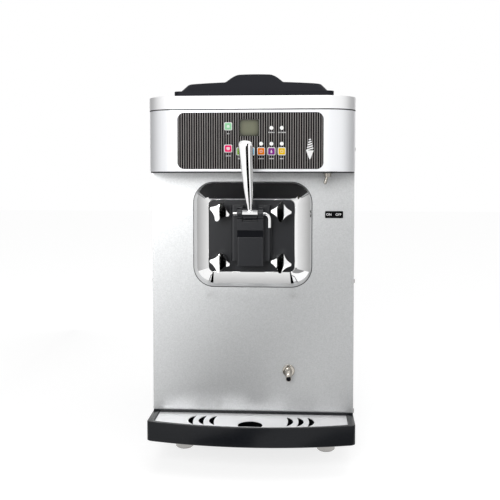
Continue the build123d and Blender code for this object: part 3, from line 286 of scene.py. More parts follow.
# Painted shade: a black plate under the head, which the bezel's top wall and the panel reflect as the head's
# shaded underside.
well_half = 165 * mm
well_front, well_back = head_back - 50 * mm, head_back - 1 * mm
well_proud, well_root = 0.6 * mm, 0.3 * mm
well_rings = lifted(np.stack([oblong(well_half, well_front, well_back)] * 2),
                    [head_low[2] - well_proud, head_low[2] + well_root])
place("head_well_shade", well_rings, shade_black, "cabinet")

seam_tall = 2.0 * mm
seam_proud = 0.25 * mm
seam_plans = np.stack([head_outline(inset) for inset in (-seam_proud, -seam_proud, seam_tall, seam_tall)])
seam_rise = seam_tall * np.array([0, -1, -1, 0])
place("head_seam", lifted(seam_plans, head_high[2] + seam_rise).swapaxes(0, 1), rubber, "cabinet")


# Control board: a green glass-fibre board behind the head's front, with a small switch behind each key,
# screwed to the cover's bosses.

board_green = finish("board_green", (0.02, 0.16, 0.07), 0.0, 0.45, 700.0, 0.15, 0.05)
dress(board_green, "control_board")


# Control overlay: a printed polyester sheet glued into a recess of the head. Fine light upright lines
# are printed on its dark brown ground.

def mixed(material, factor, colour):
    """Turns a finish's colour into another one by a factor from another node."""
    tree = material.node_tree
    shader = tree.nodes["Principled BSDF"]
    ground = shader.inputs["Base Color"].links[0].from_socket
    mix = node(tree, "Mix", {"Factor": factor, "A": ground, "B": (*colour, 1.0)}, data_type="RGBA")
    tree.links.new(mix.outputs["Result"], shader.inputs["Base Color"])


def object_axes(material):
    """The three Object coordinates of a finish, as outputs."""
    tree = material.node_tree
    return node(tree, "SeparateXYZ", {"Vector": tree.nodes["Texture Coordinate"].outputs["Object"]}).outputs


def striped_print(name, ground, line, pitch, line_share, roughness):
    """Upright printed lines: the distance of x from the nearest multiple of pitch, on Object coordinates,
    picks the line or the ground, with a short change between the two; fine noise varies the ground."""
    material = finish(name, ground, 0.0, roughness, 900.0, 0.25, 0.0, specular=0.06)
    tree = material.node_tree
    count = node(tree, "Math", {0: object_axes(material)["X"], 1: 1 / pitch}, operation="MULTIPLY")
    part = node(tree, "Math", {0: count.outputs[0], 1: 0.5}, operation="PINGPONG")
    edge = node(tree, "MapRange", {"Value": part.outputs[0], "From Min": 0.45 * line_share,
                                   "From Max": 0.55 * line_share, "To Min": 1.0, "To Max": 0.0},
                interpolation_type="SMOOTHSTEP")
    mixed(material, edge.outputs["Result"], line)
    return material


line_pitch, line_share = 4.256 * mm, 0.29
overlay_print = striped_print("overlay_print", (0.0028, 0.0016, 0.0014), (0.262, 0.251, 0.246), line_pitch,
                              line_share, 0.4)
dress(overlay_print, "control_overlay")
overlay_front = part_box("control_overlay")[0][1]


# Display: a grey-green liquid crystal window under clear plastic, set into the overlay. Its colour
# darkens towards its edges, painted shade that stands in for the shade of the frame round it.

def glass_with_painted_shade(name, middle, edge, centre, half):
    """A window with painted shade at its edges: the fourth powers of the distances from the centre over the
    half sizes, added, run the colour from middle to the painted shade colour edge."""
    material = finish(name, middle, 0.0, 0.12, 300.0, 0.05, 0.0)
    tree = material.node_tree
    axes = object_axes(material)
    powers = {}
    for socket, axis, at, reach in zip((0, 1), "XZ", centre, half):
        share = node(tree, "MapRange", {"Value": axes[axis], "From Min": at, "From Max": at + reach},
                     clamp=False)
        size = node(tree, "Math", {0: share.outputs["Result"]}, operation="ABSOLUTE")
        powers[socket] = node(tree, "Math", {0: size.outputs[0], 1: 4.0}, operation="POWER").outputs[0]
    total = node(tree, "Math", powers)
    mixed(material, total.outputs[0], edge)
    return material


display_low, display_high = np.array(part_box("display_window"))
display_centre = (display_low + display_high)[[0, 2]] / 2
display_half = (display_high - display_low)[[0, 2]] / 2
# Painted shade: the display's grey-green colour darkens to near black at its edges.
dress(glass_with_painted_shade("display_glass", (0.17, 0.175, 0.12), (0.05, 0.05, 0.04), display_centre, display_half),
      "display_window")


# Lamps: five small round lenses moulded in white plastic. They stand on the control board and show through
# holes in the overlay.

lamp_white = finish("lamp_white", (0.90, 0.90, 0.89), 0.0, 0.25, 400.0, 0.04, 0.0)
dress(lamp_white, "indicator_lamps")


# Keys: seven square caps moulded in white with a coloured label let into the face and a plain pictogram
# on it. Each slides in its own window and is sprung by the switch behind it.

def facing(rings, x, y, z):
    """Rings built along +z, turned so that their axis points out of the front, at one place."""
    return np.stack([x + rings[..., 0], y - rings[..., 2], z + rings[..., 1]], axis=-1)


def rounded_outline(wide, tall, corner, steps=6):
    """Rounded rectangles: a quarter circle of radius corner at each corner of wide by tall, anticlockwise.
    The sizes may be arrays, with one entry for each outline."""
    wide, tall, corner = (np.asarray(size, float)[..., None] for size in (wide, tall, corner))
    turn = (np.arange(4)[:, None] + np.linspace(0, 1, steps + 1)).ravel() * math.pi / 2
    right = np.repeat([1, -1, -1, 1], steps + 1)
    up = np.repeat([1, 1, -1, -1], steps + 1)
    return np.stack([right * (wide / 2 - corner) + corner * np.cos(turn),
                     up * (tall / 2 - corner) + corner * np.sin(turn)], axis=-1)


def pad_rings(wide, tall, corner, thick, edge, steps=4, sharpest=0.2 * mm):
    """A flat block along +z with a rounded front edge: the outline keeps its size up to edge below the
    front, then draws in by edge (1 - cos a) while it rises by edge sin a."""
    bend = np.linspace(0, math.pi / 2, steps + 1)
    inset = np.concatenate([[0], edge * (1 - np.cos(bend))])
    rise = np.concatenate([[0], thick - edge * (1 - np.sin(bend))])
    plan = rounded_outline(wide - 2 * inset, tall - 2 * inset, np.maximum(corner - inset, sharpest))
    return lifted(plan, rise)


def inlay_rings(outline, thick):
    """A flat inlay along +z: one outline at the back and the same at the front."""
    return lifted(np.stack([outline, outline]), [0, thick])


def blob(radius_x, radius_z, power=2.0, point=0.0, around=32):
    """A pictogram's outline: a superellipse of that power, drawn out at the top by point."""
    angle = circle(around)
    x = radius_x * np.sign(np.cos(angle)) * np.abs(np.cos(angle)) ** (2 / power)
    z = radius_z * np.sign(np.sin(angle)) * np.abs(np.sin(angle)) ** (2 / power)
    return np.column_stack([x * (1 - point * (1 + z / radius_z) / 2), z])


key_white = finish("key_white", (0.80, 0.80, 0.80), 0.0, 0.35, 500.0, 0.03, 0.02)
key_edge, key_corner = 0.5 * mm, 2.2 * mm
label_border, label_corner, label_skin = 1.1 * mm, 1.5 * mm, 0.12 * mm
key_colours = {"mint": (0.262, 0.581, 0.324), "magenta": (0.751, 0.002, 0.123), "lime": (0.131, 0.284, 0.003),
               "blue": (0.13, 0.42, 0.62), "orange": (0.739, 0.171, 0.002), "purple": (0.203, 0.025, 0.217),
               "yellow": (0.681, 0.437, 0.002)}
key_signs = {"mint": blob(3.4 * mm, 3.0 * mm, 2.6, 0.3), "magenta": blob(3.0 * mm, 3.2 * mm, 2.6, -0.5),
             "lime": blob(2.2 * mm, 4.0 * mm, 1.4), "blue": blob(3.0 * mm, 3.6 * mm, 2.0, 0.8),
             "orange": blob(3.2 * mm, 3.2 * mm, 3.0), "purple": blob(2.6 * mm, 3.6 * mm, 2.0, 0.8),
             "yellow": blob(3.2 * mm, 3.2 * mm, 3.0)}
hollow_signs = {"orange": 0.45, "yellow": 0.6}
sign_scale = 0.85
sign_white, sign_cover, hollow_cover = 0.8, 0.75, 0.45
for colour, tone in key_colours.items():
    low, high = np.array(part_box(colour + "_key"))
    x, z = ((low + high) / 2)[[0, 2]]
    size = high[0] - low[0]
    body = colour + "_button"
    cap = pad_rings(size, size, key_corner, high[1] - low[1], key_edge)
    place(colour + "_cap", facing(cap, x, high[1], z), key_white, body, (colour + "_key",))
    face = size - 2 * label_border
    label = pad_rings(face, face, label_corner, 2 * label_skin, 0.5 * label_skin)
    label_paint = finish(colour + "_label", tone, 0.0, 0.5, 700.0, 0.06, 0.02, specular=0.05)
    place(colour + "_label", facing(label, x, low[1] + label_skin, z), label_paint, body)
    sign = inlay_rings(sign_scale * key_signs[colour], 2 * label_skin)
    cover = sign_cover
    if colour in hollow_signs:
        sign = np.concatenate([sign, sign[::-1] * (hollow_signs[colour], hollow_signs[colour], 1)])
        cover = hollow_cover
    sign_tone = tuple(sign_white * cover + (1 - cover) * np.array(tone))
    sign_paint = finish(colour + "_sign", sign_tone, 0.0, 0.5, 700.0, 0.04, 0.02, specular=0.05)
    place(colour + "_sign", facing(sign, x, low[1], z), sign_paint, body)


# Overlay marks: short rows of pale printed blocks under the keys and lamps, and a plain pictogram of a
# filled cone at the right, all printed on the overlay.

def mark_row(count, x, z):
    """A row of small upright blocks, count of them, centred on x and z: one rounded outline at the row's
    even spacing."""
    block = inlay_rings(rounded_outline(mark_wide, mark_tall, mark_corner, 2), mark_skin)
    across = x + mark_pitch * (np.arange(count) - (count - 1) / 2)
    return np.stack([facing(block, at, overlay_front + mark_skin / 2, z) for at in across])


mark_white = finish("mark_white", (0.50, 0.50, 0.50), 0.0, 0.5, 600.0, 0.06, 0.0)
mark_wide, mark_tall, mark_pitch = 1.7 * mm, 2.0 * mm, 2.3 * mm
mark_corner, mark_skin = 0.3 * mm, 0.16 * mm
key_counts = {"mint": 2, "magenta": 4, "lime": 4, "blue": 4, "orange": 4, "purple": 4, "yellow": 3}
key_mark_drop = 13 * mm
rows = []
for colour, count in key_counts.items():
    low, high = np.array(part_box(colour + "_key"))
    x, y, z = (low + high) / 2
    rows.append(mark_row(count, x, z - key_mark_drop))
lamp_low, lamp_high = np.array(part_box("indicator_lamps"))
lamp_radius = 3.35 * mm
lamp_mark_drop = 8 * mm
lamp_pitch = (lamp_high[0] - lamp_low[0] - 2 * lamp_radius) / 2
for column, count in ((1, 5), (2, 6)):
    rows.append(mark_row(count, lamp_low[0] + lamp_radius + column * lamp_pitch,
                         lamp_high[2] - lamp_radius - lamp_mark_drop))
place("overlay_marks", np.concatenate(rows), mark_white, "cabinet")

overlay_low, overlay_high = np.array(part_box("control_overlay"))
cone_x = overlay_high[0] - 24 * mm
cone_z = (overlay_low[2] + overlay_high[2]) / 2 - 25 * mm
cone_wide, cone_deep = 13.5 * mm, 15.5 * mm
swirl_rise = 4.2 * mm
swirl_tilt = math.radians(18)
swirl_thick, swirl_corner = 2.2 * mm, 0.9 * mm
swirl_shares = 0.95 - 0.16 * np.arange(5)
cone = np.array([(-0.5, 0.5), (-0.06, -0.5), (0.06, -0.5), (0.5, 0.5)]) * (cone_wide, cone_deep)
place("sign_cone", facing(inlay_rings(cone, mark_skin), cone_x, overlay_front + mark_skin / 2, cone_z),
      key_white, "cabinet")
swirl = []
for turn, share in enumerate(swirl_shares):
    bar = rounded_outline(cone_wide * share, swirl_thick, swirl_corner, 3)
    bar = np.column_stack([bar[:, 0] * math.cos(swirl_tilt) - bar[:, 1] * math.sin(swirl_tilt),
                           bar[:, 0] * math.sin(swirl_tilt) + bar[:, 1] * math.cos(swirl_tilt)])
    rise = cone_z + cone_deep / 2 + (turn + 0.6) * swirl_rise
    swirl.append(facing(inlay_rings(bar, mark_skin), cone_x, overlay_front + mark_skin / 2, rise))
place("sign_swirl", np.stack(swirl), key_white, "cabinet")


# Top rim: a rim and deck folded from sheet, lacquered pale silver, that closes the cabinet and carries
# the hopper.

rim_paint = finish("rim_paint", (0.91, 0.91, 0.915), 0.45, 0.30, 900.0, 0.02, 0.02)
dress(rim_paint, "top_rim")


# Hopper: a tank deep-drawn from stainless sheet that hangs from the deck, with a white plastic feed tube
# standing in its outlet.

dress(bright_steel, "hopper_tank")
dress(white_plastic, "feed_tube")


# Hopper lid: moulded in black plastic with a fine matt grain. Its upright flange stands on the hopper's
# edge, its sides slope in above a step, and a smooth raised grip runs along its crown.

lid_black = finish("lid_black", (0.0112, 0.0118, 0.0155), 0.0, 0.45, 900.0, 0.12, 0.04, specular=0.06)
lid_low, lid_high = np.array(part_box("hopper_lid"))
lid_centre = (lid_low + lid_high) / 2
lid_size = (lid_high - lid_low)[:2]
lid_corner = 12 * mm
lid_flange = 16.6 * mm
lid_edge = 0.5 * mm
lid_step = 9.8 * mm
lid_shoulder = 32 * mm
lid_pitch = 1.1
lid_ease = 1.5 * mm
crown_height = 5.3 * mm
crown_half = 128.7 * mm
grip_base, grip_brow = 55.5 * mm, 28 * mm
grip_height, grip_bow = 15.4 * mm, 0.7 * mm
plug_depth = 12 * mm
plug_size = np.array([264, 342]) * mm
plug_corner = 16 * mm
plug_wall = 4 * mm
lid_foot = 0.6 * mm
lid_slope_end, lid_top_start, lid_top_end = 60 * mm, 62.5 * mm, 152 * mm


def lid_section(x):
    """Height of the lid over its seat at x: a parabolic crown, a cubic flank that leaves it at 45 degrees
    and comes level at the brow, and a slightly bowed grip between the brows."""
    x = np.abs(x)
    crown = lid_shoulder + crown_height * (1 - (x / crown_half) ** 2)
    base = lid_shoulder + crown_height * (1 - (grip_base / crown_half) ** 2)
    top = lid_shoulder + crown_height + grip_height
    reach = grip_base - grip_brow
    part = np.clip((grip_base - x) / reach, 0, 1)
    flank = base + (top - base) * part ** 2 * (3 - 2 * part) + reach * part * (1 - part) ** 2
    bow = grip_bow * np.clip(1 - (x / grip_brow) ** 2, 0, 1)
    return np.where(x > grip_base, crown, flank + bow)


def lid_plan(size, inset, corner, between=60):
    """A rounded rectangle of that size drawn in by inset, with points spread along its straight sides."""
    wide, long = size - 2 * inset
    corner = min(corner, 0.49 * wide)
    turns = rounded_outline(wide, long, corner, 8).reshape(4, -1, 2)
    share = np.linspace(0, 1, between + 2)[1:-1, None]
    sides = turns[:, -1:] * (1 - share) + np.roll(turns, -1, axis=0)[:, :1] * share
    return np.concatenate([turns, sides], axis=1).reshape(-1, 2)


def lid_ring(size, inset, corner, rise):
    """One outline of the lid at one height over its seat."""
    plan = lid_plan(size, inset, corner)
    return np.column_stack([plan, np.full(len(plan), rise)])


def lid_slope_ring(inset):
    """One outline of the lid's top: the lower of the section and a slope of lid_pitch that rises from the
    step, blended over lid_ease by a smooth minimum."""
    plan = lid_plan(lid_size, inset, lid_corner)
    section = lid_section(plan[:, 0])
    slope = lid_flange + lid_pitch * (inset - lid_step)
    blend = np.clip(0.5 + 0.5 * (section - slope) / lid_ease, 0, 1)
    rise = section * (1 - blend) + slope * blend - lid_ease * blend * (1 - blend)
    return np.column_stack([plan, rise])


bend = np.linspace(0, math.pi / 2, 5)
wall_rings = [lid_ring(plug_size, plug_wall, plug_corner, lid_shoulder - plug_wall),
              lid_ring(plug_size, plug_wall, plug_corner, -plug_depth),
              lid_ring(plug_size, 0, plug_corner, -plug_depth), lid_ring(plug_size, 0, plug_corner, 0),
              lid_ring(lid_size, lid_foot, lid_corner, 0), lid_ring(lid_size, 0, lid_corner, lid_foot)]
for turn in bend:
    wall_rings.append(lid_ring(lid_size, lid_edge * (1 - math.cos(turn)), lid_corner,
                               lid_flange - lid_edge * (1 - math.sin(turn))))
insets = np.concatenate([np.linspace(lid_step, lid_slope_end, 44),
                         np.linspace(lid_top_start, lid_top_end, 34)])
lid_rings = wall_rings + [lid_slope_ring(inset) for inset in insets]
lid_seat = np.array([lid_centre[0], lid_centre[1], lid_low[2] + plug_depth])
place("lid_shell", lid_seat + np.stack(lid_rings), lid_black, "lid", ("hopper_lid",), crease=30)


# Bezel: a frame pressed from brass sheet and chromed, whose four walls slope forward from the front panel
# to the dispensing head's mouth, with a rounded lip at the mouth. A thin rubber gasket lies under its foot.

chrome = finish("polished_chrome", (0.90, 0.90, 0.90), 1.0, 0.05, 60.0, 0.02, 0.0)
bezel_low, bezel_high = np.array(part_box("bezel"))
bezel_centre = (bezel_low + bezel_high) / 2
bezel_wide, bezel_rise, bezel_tall = bezel_high - bezel_low
bezel_corner = 39 * mm
mouth_wide, mouth_tall, mouth_corner = 158 * mm, 132 * mm, 9 * mm
bezel_skin = 3.4 * mm
bezel_swell = math.radians(7)
lip_share, lip_round = 0.03, 0.8 * mm
foot_share = 0.16
slope = math.atan2(bezel_rise, (bezel_wide - mouth_wide) / 2)
arc = np.linspace(math.pi / 2, slope + bezel_swell, 7)
heading = np.concatenate([arc, np.linspace(slope + bezel_swell, slope - bezel_swell, 12)[1:]])
pace = np.concatenate([np.full(6, 1.0), np.full(11, 5.0)])
steps = pace[:, None] * np.column_stack([np.cos(heading[1:]), np.sin(heading[1:])])
wall = np.concatenate([[(0, 0)], np.cumsum(steps, axis=0)])
wall = wall / wall[-1]
lip = np.linspace(0, math.pi / 2, 5)
across = np.concatenate([wall[:-1, 0] * (1 - lip_share), 1 - lip_share + lip_share * np.sin(lip),
                         [1.0, foot_share]])
forward = np.concatenate([wall[:-1, 1] * bezel_rise, bezel_rise - lip_round * (1 - np.cos(lip)),
                          [bezel_rise - bezel_skin, 0.0]])
bezel_plans = rounded_outline(bezel_wide + across * (mouth_wide - bezel_wide),
                              bezel_tall + across * (mouth_tall - bezel_tall),
                              bezel_corner + across * (mouth_corner - bezel_corner), 14)
bezel_seat = (bezel_centre[0], bezel_high[1], bezel_centre[2])
place("bezel_frame", facing(lifted(bezel_plans, forward), *bezel_seat), chrome, "cabinet",
      ("bezel",), crease=40, loop=True)

gasket_proud, gasket_hidden, gasket_thick = 0.8 * mm, 3 * mm, 0.9 * mm
gasket_out = np.array([gasket_proud, gasket_proud, -gasket_hidden, -gasket_hidden])
gasket_rise = gasket_thick * np.array([0, 1, 1, 0])
gasket_plans = rounded_outline(bezel_wide + 2 * gasket_out, bezel_tall + 2 * gasket_out,
                               bezel_corner + gasket_out, 14)
place("bezel_gasket", facing(lifted(gasket_plans, gasket_rise), *bezel_seat), rubber, "cabinet",
      loop=True)


# Dispensing head: a door moulded in black plastic that closes the barrel, with a column for the valve, and
# cheeks that carry the lever's pin. A white plunger with rubber rings slides in the column.

head_black = finish("head_black", (0.014, 0.0148, 0.0175), 0.0, 0.26, 900.0, 0.15, 0.04, specular=0.4)
head_tree = head_black.node_tree
soft_edge = node(head_tree, "Bevel", {"Radius": 1.4 * mm}, samples=8)
head_tree.links.new(soft_edge.outputs["Normal"], head_tree.nodes["Bump"].inputs["Normal"])
dress(head_black, "dispensing_head")
dress(white_plastic, "draw_plunger")
dress(rubber, "plunger_rings")

# Painted shade: a near-black sheet set in the column's groove draws the shade that falls in it.
groove_half, groove_front, groove_back = 23.4 * mm, 68.5 * mm, 63.5 * mm
groove_low, groove_high = 1.2 * mm, 12.8 * mm
# A near-black, almost unreflecting finish for sheets that paint shade, here and in the drain spout's mouth.
painted_shade_black = finish("painted_shade_black", (0.0085, 0.009, 0.011), 0.0, 0.8, 700.0, 0.2, 0.02, specular=0.02)
groove = inlay_rings(oblong(groove_half, groove_low, groove_high), groove_front - groove_back)
place("groove_shade_sheet", facing(groove, 0, head_back - groove_back, bezel_centre[2]), painted_shade_black, "cabinet")

brow_half, brow_front, brow_back = 14 * mm, 67.2 * mm, 61 * mm
brow_low, brow_high = 27.8 * mm, 32 * mm
brow = inlay_rings(oblong(brow_half, brow_low, brow_high), brow_front - brow_back)
place("column_lip", facing(brow, 0, head_back - brow_back, bezel_centre[2]), head_black, "cabinet")


# Star knobs: four hand nuts cast in zinc, polished and chromed, that hold the head on its studs. Each is a
# four-pointed star with a low dome on a round hub.

def star_rings(reach, neck, scoop, hub, hub_length, thick, dome, edge, root, tilt, around=120):
    """A four-pointed star along +z: the distance to four circles of radius scoop that bite into it down to
    neck, limited to reach by a smooth minimum; lofted from a round hub through a rim that widens from root
    to one, to a face that falls by dome (r / reach)^2."""
    angle = circle(around)
    off = (angle % (math.pi / 2)) - math.pi / 4
    centre = neck + scoop
    bite = centre * np.cos(off) - np.sqrt(np.maximum(scoop ** 2 - (centre * np.sin(off)) ** 2, 0))
    star = 1 / ((1 / reach) ** 12 + (1 / bite) ** 12) ** (1 / 12)
    scale = np.concatenate([[root, 1, 0.995], np.linspace(0.98, 0.03, 14)])
    radius = scale[:, None] * star
    rise = thick - dome * (radius / reach) ** 2
    rise[0] = 0
    rise[1] -= edge
    radius = np.concatenate([np.full((2, around), hub), radius])
    rise = np.concatenate([np.full((1, around), -hub_length), np.zeros((1, around)), rise])
    angle = angle + tilt
    return np.stack([radius * np.cos(angle), radius * np.sin(angle), rise], axis=-1)


knob_reach = 18.5 * mm
knob_neck, knob_scoop = 12 * mm, 22 * mm
knob_dome, knob_edge, knob_root = 1.5 * mm, 0.15 * mm, 0.82
knob_hub = 9 * mm
knob_hub_length = 6 * mm
knob_tilts = {"upper_left": -20, "upper_right": -3, "lower_left": -10, "lower_right": -8}
for corner, tilt in knob_tilts.items():
    low, high = np.array(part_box(corner + "_knob"))
    x, z = ((low + high) / 2)[[0, 2]]
    thick = high[1] - low[1] - knob_hub_length
    star = star_rings(knob_reach, knob_neck, knob_scoop, knob_hub, knob_hub_length, thick, knob_dome,
                      knob_edge, knob_root, math.radians(tilt))
    place(corner + "_star", facing(star, x, high[1] - knob_hub_length, z), chrome, corner + "_nut",
          (corner + "_knob",))


# Draw lever: a chromed casting that hangs on the pin. A flared blade leans forward from a flat front
# plate, and a black hub with a short arm behind it lifts the plunger.

joint_places = {joint["name"]: joint for joint in frame["joints"]}
pivot = np.array(joint_places["draw_lever_hinge"]["pos_m"])
blade_length = 146 * mm
blade_lean = math.radians(29)
blade_shift = -4 * mm
blade_twist = math.radians(7.5)
tip_share = 0.05
tip_turn = np.linspace(0, 1.5, 10)
station = np.concatenate([np.linspace(0.03, 1 - tip_share, 36), 1 - tip_share * (1 - np.sin(tip_turn[1:]))])
closing = np.concatenate([np.ones(36), np.cos(tip_turn[1:]) ** 0.8])
wide = np.interp(station, [0, 0.11, 0.25, 0.39, 0.53, 0.75, 0.94, 1],
                 np.array([9, 10.1, 14.3, 17, 19.1, 22.5, 25.5, 25.5]) * mm)
thick = np.interp(station, [0, 0.4, 0.75, 1], np.array([9, 11, 13, 13]) * mm)
angle = circle(64)
fullness = 2 / 2.5
flank = np.sign(np.cos(angle)) * np.abs(np.cos(angle)) ** fullness
crown = np.sign(np.sin(angle)) * np.abs(np.sin(angle)) ** fullness
across = (wide * closing / 2)[:, None] * flank
forward = (thick * closing / 2)[:, None] * crown
side = across * math.cos(blade_twist) - forward * math.sin(blade_twist) + (blade_shift * station)[:, None]
front = across * math.sin(blade_twist) + forward * math.cos(blade_twist)
along = np.broadcast_to((blade_length * station)[:, None], side.shape)
blade = np.stack([side, -along * math.sin(blade_lean) - front * math.cos(blade_lean),
                  along * math.cos(blade_lean) - front * math.sin(blade_lean)], axis=-1)
place("lever_blade", pivot + blade, chrome, "lever", ("draw_lever",), crease=50)

plate_half, plate_reach = 13.5 * mm, 13 * mm
plate_foot, plate_brow, plate_top = -0.8 * mm, 3.6 * mm, 6.4 * mm
plate_tilt, brow_slope = math.tan(math.radians(20)), 1.2
brow_reach = plate_reach - plate_tilt * (plate_brow - plate_foot)
plate_profile = np.array([(0, plate_foot), (plate_reach, plate_foot), (brow_reach, plate_brow),
                          (brow_reach - brow_slope * (plate_top - plate_brow), plate_top), (0, plate_top)])
plate_across = np.broadcast_to(np.array([-plate_half, plate_half])[:, None], (2, len(plate_profile)))
plate_sides = np.broadcast_to(plate_profile, (2, *plate_profile.shape))
plate = np.stack([plate_across, -plate_sides[..., 0], plate_sides[..., 1]], axis=-1)
place("lever_plate", pivot + plate, chrome, "lever", crease=20)

hub_radius = 10.5 * mm
hub_edge = 0.8 * mm
hub_half = 13.5 * mm
hub = turned([hub_radius - hub_edge, hub_radius, hub_radius, hub_radius - hub_edge],
             [-hub_half, hub_edge - hub_half, hub_half - hub_edge, hub_half])
place("lever_hub", pivot + hub[..., [2, 0, 1]], head_black, "lever")

arm_radius, arm_length, ball_radius = 4 * mm, 26 * mm, 5 * mm
arm_lift = math.radians(-28.5)
ball = np.linspace(-0.62, 1.5, 10)
arm = turned(np.concatenate([[arm_radius, arm_radius], ball_radius * np.cos(ball)]),
             np.concatenate([[0, arm_length - ball_radius], arm_length + ball_radius * np.sin(ball)]), 32)
arm = np.stack([arm[..., 0], arm[..., 2] * math.cos(arm_lift) - arm[..., 1] * math.sin(arm_lift),
                arm[..., 2] * math.sin(arm_lift) + arm[..., 1] * math.cos(arm_lift)], axis=-1)
place("lever_arm", pivot + arm, chrome, "lever")


# Pivot pin: a polished steel rod, bent down at its right end, that slides through the cheeks and the
# lever's hub.

dress(chrome, "pivot_pin")


# Power switch: a toggle with a plated steel bat that rocks in a threaded bushing, which is held by its nut
# under the control head.

switch_steel = finish("switch_steel", (0.34, 0.32, 0.29), 1.0, 0.12, 900.0, 0.08, 0.02)
dress(switch_steel, "toggle_bushing", "power_toggle")


# Switch plate: a small plate of black plastic, glued to the front panel beside the switch, with the words
# ON and OFF raised on it in white.

def lettering(name, words, size, x, y, z, material, body):
    """Raised letters on the front: a text line made a mesh, centred on x and z, lifted from y."""
    curve = bpy.data.curves.new(name, "FONT")
    curve.body = words
    curve.size = size
    curve.align_x = "CENTER"
    curve.align_y = "CENTER"
    curve.extrude = letter_rise
    curve.offset = letter_bold
    source = show(name + "_curve", curve)
    bpy.context.view_layer.update()
    mesh = bpy.data.meshes.new_from_object(source)
    bpy.data.objects.remove(source)
    bpy.data.curves.remove(curve)
    points = np.empty(3 * len(mesh.vertices))
    mesh.vertices.foreach_get("co", points)
    points = facing(points.reshape(-1, 3), x, y, z)
    mesh.vertices.foreach_set("co", points.ravel())
    mesh.materials.clear()
    mesh.materials.append(material)
    made = show(name, mesh)
    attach(made, body)


plate_black = finish("plate_black", (0.003, 0.003, 0.003), 0.0, 0.5, 700.0, 0.2, 0.03, specular=0.04)
dress(plate_black, "switch_plate")
plate_low, plate_high = np.array(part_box("switch_plate"))
plate_centre = (plate_low + plate_high) / 2
letter_size, letter_rise, letter_bold = 6.2 * mm, 0.1 * mm, 0.04 * mm
for word, off in (("ON", -9.6 * mm), ("OFF", 8.0 * mm)):
    lettering("word_" + word.lower(), word, letter_size, plate_centre[0] + off, plate_low[1], plate_centre[2],
              key_white, "cabinet")


# Drain spout: a bent tube of bright steel with a round collar, cut off aslant at its mouth. It drains the
# channel behind the barrel's seal and is held by a nut behind the front panel.

drain_low, drain_high = np.array(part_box("drain_spout"))
collar_radius = np.array([11.5, 11.5, 10.6, 9.2]) * mm
collar_rise = np.array([0, 3.6, 4.7, 5.0]) * mm
drain_centre = np.array([(drain_low[0] + drain_high[0]) / 2, head_back, drain_high[2] - collar_radius[0]])
drain_steel = finish("drain_steel", (0.47, 0.44, 0.395), 1.0, 0.2, 700.0, 0.08, 0.02)
place("drain_collar", facing(turned(collar_radius, collar_rise), *drain_centre), drain_steel, "cabinet")

tube_run, tube_bend, tube_drop = 10 * mm, 7 * mm, 5 * mm
tube_start, tube_end = 6.5 * mm, 5.2 * mm
tube_slant = 7.0 * mm
turning = np.linspace(0, math.pi / 2, 12)[1:]
elbow = np.concatenate([[0, 0], turning, [math.pi / 2]])
run = np.concatenate([[head_back - drain_high[1], tube_run], tube_run + tube_bend * np.sin(turning),
                      [tube_run + tube_bend]])
fall = np.concatenate([[0, 0], tube_bend * (1 - np.cos(turning)), [tube_bend + tube_drop]])
girth = np.linspace(tube_start, tube_end, len(elbow))
around = circle(40)
lift = girth[:, None] * np.sin(around)
tube = np.stack([girth[:, None] * np.cos(around), -run[:, None] - lift * np.sin(elbow)[:, None],
                 lift * np.cos(elbow)[:, None] - fall[:, None]], axis=-1)
tube[-1, :, 2] += tube_slant * np.sin(around)
place("drain_tube", drain_centre + tube, drain_steel, "cabinet", ("drain_spout",))

# Painted shade: a near-black disc set just inside the slanted mouth draws the shade inside the tube.
bore_share, bore_root, bore_proud = 0.84, 0.4 * mm, 0.1 * mm
bore_centre = tube[-1].mean(axis=0)
bore_out = np.array([0, -tube_slant, -tube_end]) / math.hypot(tube_slant, tube_end)
bore = bore_centre + bore_share * (tube[-1] - bore_centre)
bore_shade_rings = np.stack([bore - bore_root * bore_out, bore + bore_proud * bore_out])
place("drain_mouth_shade", drain_centre + bore_shade_rings, painted_shade_black, "cabinet")


# Drip tray: moulded in glossy black plastic, bowed at the front, with a broad rim, a ledge for its grid and
# a basin below. It slides on the chassis rails.

def tray_outline(insets, corner_ease, steps=40):
    """The tray from above, drawn in at its sides, front and back: straight back and sides, and a circular
    arc in front through both corners and the middle of the bow, its corners eased by quadratic curves."""
    side = tray_high[0] - insets[0]
    front = tray_low[1] + insets[1]
    back = tray_high[1] - insets[2]
    radius = (side ** 2 + tray_bow ** 2) / (2 * tray_bow)
    reach = math.asin(side / radius)
    turn = np.linspace(-1, 1, steps) * (reach - corner_ease / radius)
    arc = np.column_stack([radius * np.sin(turn), front + radius * (1 - np.cos(turn))])
    knee = np.array([-side, front + tray_bow])
    ease = np.linspace(0, 1, 8)[:, None]
    left = (1 - ease) ** 2 * (knee + (0, corner_ease)) + 2 * ease * (1 - ease) * knee + ease ** 2 * arc[0]
    right = left[::-1] * (-1, 1)
    return np.concatenate([[(-side, back)], left, arc[1:-1], right, [(side, back)]])


